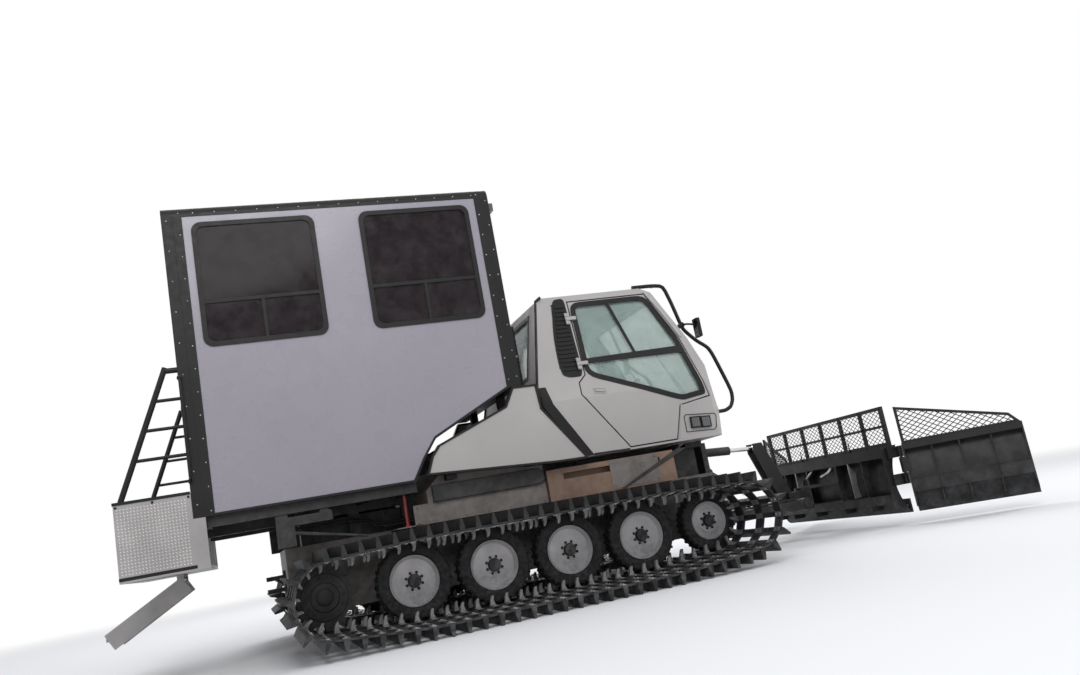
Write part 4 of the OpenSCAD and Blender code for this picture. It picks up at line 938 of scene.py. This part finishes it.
def pad(name, centre, size, turn=0.0, crown=0.020, channels=3, along=1, mat="seat_fabric", replaces=()):
    """Upholstered cushion: rounded box with a crowned face, sewn channels and a welt round its edge."""
    bm = bmesh.new()
    bmesh.ops.create_cube(bm, size=2.0)
    bmesh.ops.subdivide_edges(bm, edges=bm.edges[:], cuts=22, use_grid_fill=True)
    half = [s / 2 for s in size]
    for vert in bm.verts:
        u, v, w = vert.co
        p = 7.0
        length = (abs(u) ** p + abs(v) ** p + abs(w) ** p) ** (1 / p)
        u, v, w = u / length, v / length, w / length
        face = max(0.0, 1 - u * u) * max(0.0, 1 - v * v)
        swell = crown * face ** 0.6
        line = (v if along else u) * (channels / 2)
        seam = abs(line - round(line * 1.0 - 0.5) - 0.5) if channels % 2 else abs(line - round(line))
        groove = 0.010 * math.exp(-(seam / 0.05) ** 2) * face ** 0.3 if channels > 1 else 0.0
        pinch = 0.006 * (1 - abs(u) ** 6) * (abs(v) ** 8)
        vert.co = Vector((u * half[0], v * (half[1] - pinch), w * (half[2] - crown * 0.9) + math.copysign(1, w) * abs(w) ** 0.5 * (swell - groove)))
    welt_points = 48
    for w in (-0.62, 0.62):
        points = []
        for k in range(welt_points):
            a = 2 * math.pi * k / welt_points
            c, s = math.cos(a), math.sin(a)
            scale = 1 / (abs(c) ** 7 + abs(s) ** 7) ** (1 / 7)
            points.append(Vector((c * scale * (half[0] - 0.004), s * scale * (half[1] - 0.006), w * (half[2] - crown * 0.9))))
        for k in range(welt_points):
            tube(bm, [points[k], points[(k + 1) % welt_points]], 0.0035, 5, lambda x, y, z: Vector((x, y, z)))
    spin = Matrix.Rotation(turn, 4, "Y")
    bmesh.ops.transform(bm, matrix=Matrix.Translation(row(*centre)) @ spin, verts=bm.verts)
    piece = finish(name, bm, mat, smooth=60, replaces=replaces)
    return piece


def make_seats():
    base = bmesh.new()
    for k, y in enumerate((0.0, 0.56)):
        x = 3.15
        box(base, (x - 0.22, y - 0.20, 1.3755), (x + 0.20, y + 0.20, 1.40))
        box(base, (x - 0.14, y - 0.14, 1.40), (x + 0.12, y + 0.14, 1.505))
        box(base, (x - 0.24, y - 0.225, 1.505), (x + 0.22, y + 0.225, 1.535))
        tube(base, [(x - 0.20, y - 0.232, 1.52), (x - 0.23, y - 0.232, 1.70)], 0.012, 8)
        tube(base, [(x - 0.20, y + 0.232, 1.52), (x - 0.23, y + 0.232, 1.70)], 0.012, 8)
        pad("cab_seat_cushion_%d" % k, (x - 0.005, y, 1.590), (0.46, 0.46, 0.115), replaces=("cab_seats",))
        pad("cab_seat_back_%d" % k, (x - 0.235, y, 1.905), (0.46, 0.45, 0.105), turn=math.radians(82), along=1, replaces=("cab_seats",))
        pad("cab_seat_head_%d" % k, (x - 0.285, y, 2.195), (0.115, 0.26, 0.085), turn=math.radians(82), channels=1,
            replaces=("cab_seats",))
    finish("cab_seat_bases", base, "chassis_black", bevel=0.004, replaces=("cab_seats",))
    frames = bmesh.new()
    for k, side in enumerate((-1, 1)):
        box(frames, (-0.80, side * 1.10, 1.6605), (0.86, side * 0.705, 1.690))
        for x in (-0.78, -0.25, 0.29, 0.82):
            box(frames, (x, side * 1.09, 1.3905), (x + 0.03, side * 0.72, 1.6605))
        box(frames, (-0.80, side * 1.13, 1.69), (0.86, side * 1.112, 2.335))
        for j in range(3):
            x = -0.525 + j * 0.555
            pad("bench_cushion_%d_%d" % (k, j), (x, side * 0.905, 1.748), (0.548, 0.40, 0.115), channels=4, along=0,
                replaces=("cabin_benches",))
            pad("bench_back_%d_%d" % (k, j), (x, side * 1.076, 2.07), (0.548, 0.52, 0.072), channels=4, along=0, crown=0.012,
                replaces=("cabin_benches",)).data.transform(
                Matrix.Translation(row(x, side * 1.076, 2.07)) @ Matrix.Rotation(math.radians(90), 4, "X")
                @ Matrix.Translation(-row(x, side * 1.076, 2.07)))
    finish("bench_frames", frames, "chassis_black", bevel=0.003, replaces=("cabin_benches",))


def make_front_details():
    bm = bmesh.new()
    for side in (-1, 1):
        for y in (0.12, 0.46):
            for z in (0.62, 0.84, 1.06, 1.24):
                bolt(bm, row(4.36, side * y, z), (1, 0, 0), 0.013, 0.011)
    finish("front_wall_bolts", bm, "worn_steel")
    arms = bmesh.new()
    for side in (-1, 1):
        for x in (4.62, 4.82, 5.20, 5.36):
            box(arms, (x, side * 0.378, 0.353), (x + 0.012, side * 0.482, 0.467))
        tube(arms, [(4.50, side * 0.43, 0.478), (4.70, side * 0.43, 0.482), (5.02, side * 0.43, 0.482), (5.30, side * 0.43, 0.482),
                    (5.40, side * 0.43, 0.476)], 0.011, 10)
        for x in (4.58, 4.90, 5.26):
            box(arms, (x, side * 0.405, 0.4655), (x + 0.025, side * 0.455, 0.496))
    finish("push_frame_pipes", arms, "cast_dark", "push_frame", bevel=0.002)


# Stage


def add_stage():
    bpy.ops.mesh.primitive_circle_add(vertices=96, radius=150, fill_type="NGON")
    floor = bpy.context.object
    floor.name = "floor"
    mat, tree, shader = new_material("floor")
    shader.inputs["Base Color"].default_value = (0.86, 0.86, 0.87, 1)
    shader.inputs["Roughness"].default_value = 0.9
    glow = add_node(tree, "ShaderNodeEmission", {"Color": (1, 1, 1, 1), "Strength": 1.0})
    coords = object_coords(tree)
    reach = add_node(tree, "ShaderNodeVectorMath", operation="LENGTH")
    tree.links.new(coords, reach.inputs[0])
    fade = add_node(tree, "ShaderNodeMapRange", {"From Min": 9.0, "From Max": 26.0}, interpolation_type="SMOOTHSTEP")
    tree.links.new(reach.outputs["Value"], fade.inputs["Value"])
    blend = add_node(tree, "ShaderNodeMixShader")
    tree.links.new(fade.outputs["Result"], blend.inputs["Fac"])
    tree.links.new(shader.outputs["BSDF"], blend.inputs[1])
    tree.links.new(glow.outputs["Emission"], blend.inputs[2])
    tree.links.new(blend.outputs["Shader"], tree.nodes["Material Output"].inputs["Surface"])
    floor.data.materials.append(mat)


def add_world():
    world = bpy.data.worlds.new("world")
    bpy.context.scene.world = world
    world.use_nodes = True
    tree = world.node_tree
    sky = tree.nodes["Background"]
    sky.inputs["Color"].default_value = (0.93, 0.95, 1.0, 1)
    sky.inputs["Strength"].default_value = 0.62
    white = add_node(tree, "ShaderNodeBackground", {"Color": (1, 1, 1, 1), "Strength": 1.0})
    rays = add_node(tree, "ShaderNodeLightPath")
    first = add_node(tree, "ShaderNodeMath", operation="MAXIMUM")
    both = add_node(tree, "ShaderNodeMath", operation="MAXIMUM")
    tree.links.new(rays.outputs["Is Camera Ray"], first.inputs[0])
    tree.links.new(rays.outputs["Is Glossy Ray"], first.inputs[1])
    tree.links.new(first.outputs["Value"], both.inputs[0])
    tree.links.new(rays.outputs["Is Transmission Ray"], both.inputs[1])
    blend = add_node(tree, "ShaderNodeMixShader")
    tree.links.new(both.outputs["Value"], blend.inputs["Fac"])
    tree.links.new(sky.outputs["Background"], blend.inputs[1])
    tree.links.new(white.outputs["Background"], blend.inputs[2])
    tree.links.new(blend.outputs["Shader"], tree.nodes["World Output"].inputs["Surface"])


def add_lamp(name, place, target, size, watts):
    data = bpy.data.lights.new(name, "AREA")
    data.shape = "DISK"
    data.size = size
    data.energy = watts
    lamp = bpy.data.objects.new(name, data)
    bpy.context.scene.collection.objects.link(lamp)
    lamp.location = place
    lamp.rotation_euler = (Vector(target) - Vector(place)).to_track_quat("-Z", "Y").to_euler()


def add_lights():
    add_lamp("key", (-3, -13, 11), (0, 0, 1.5), 9, 950)
    add_lamp("back", (2, 12, 10), (0, 0, 2), 9, 820)
    add_lamp("front", (13, -4, 6), (0, 0, 1.5), 7, 420)


add_camera()
add_world()
add_lights()
add_stage()
MATS = build_materials()
dress_nodes(MATS)
make_tyres()
make_rims()
make_track_details()
make_sprocket_details()
make_blade_mesh()
make_blade_details()
make_wing_guard("wing_right", on_wing, "wing_right")
make_wing_guard("wing_left", flipped(on_wing), "wing_left")
make_landing()
make_side_parts_and_shade_band()
make_door_trim("right_door", -1, "cab_door_right")
make_door_trim("left_door", 1, "cab_door_left")
make_cab_trim()
make_cabin_trim()
make_seats()
make_front_details()
bpy.context.scene.view_settings.view_transform = "Standard"
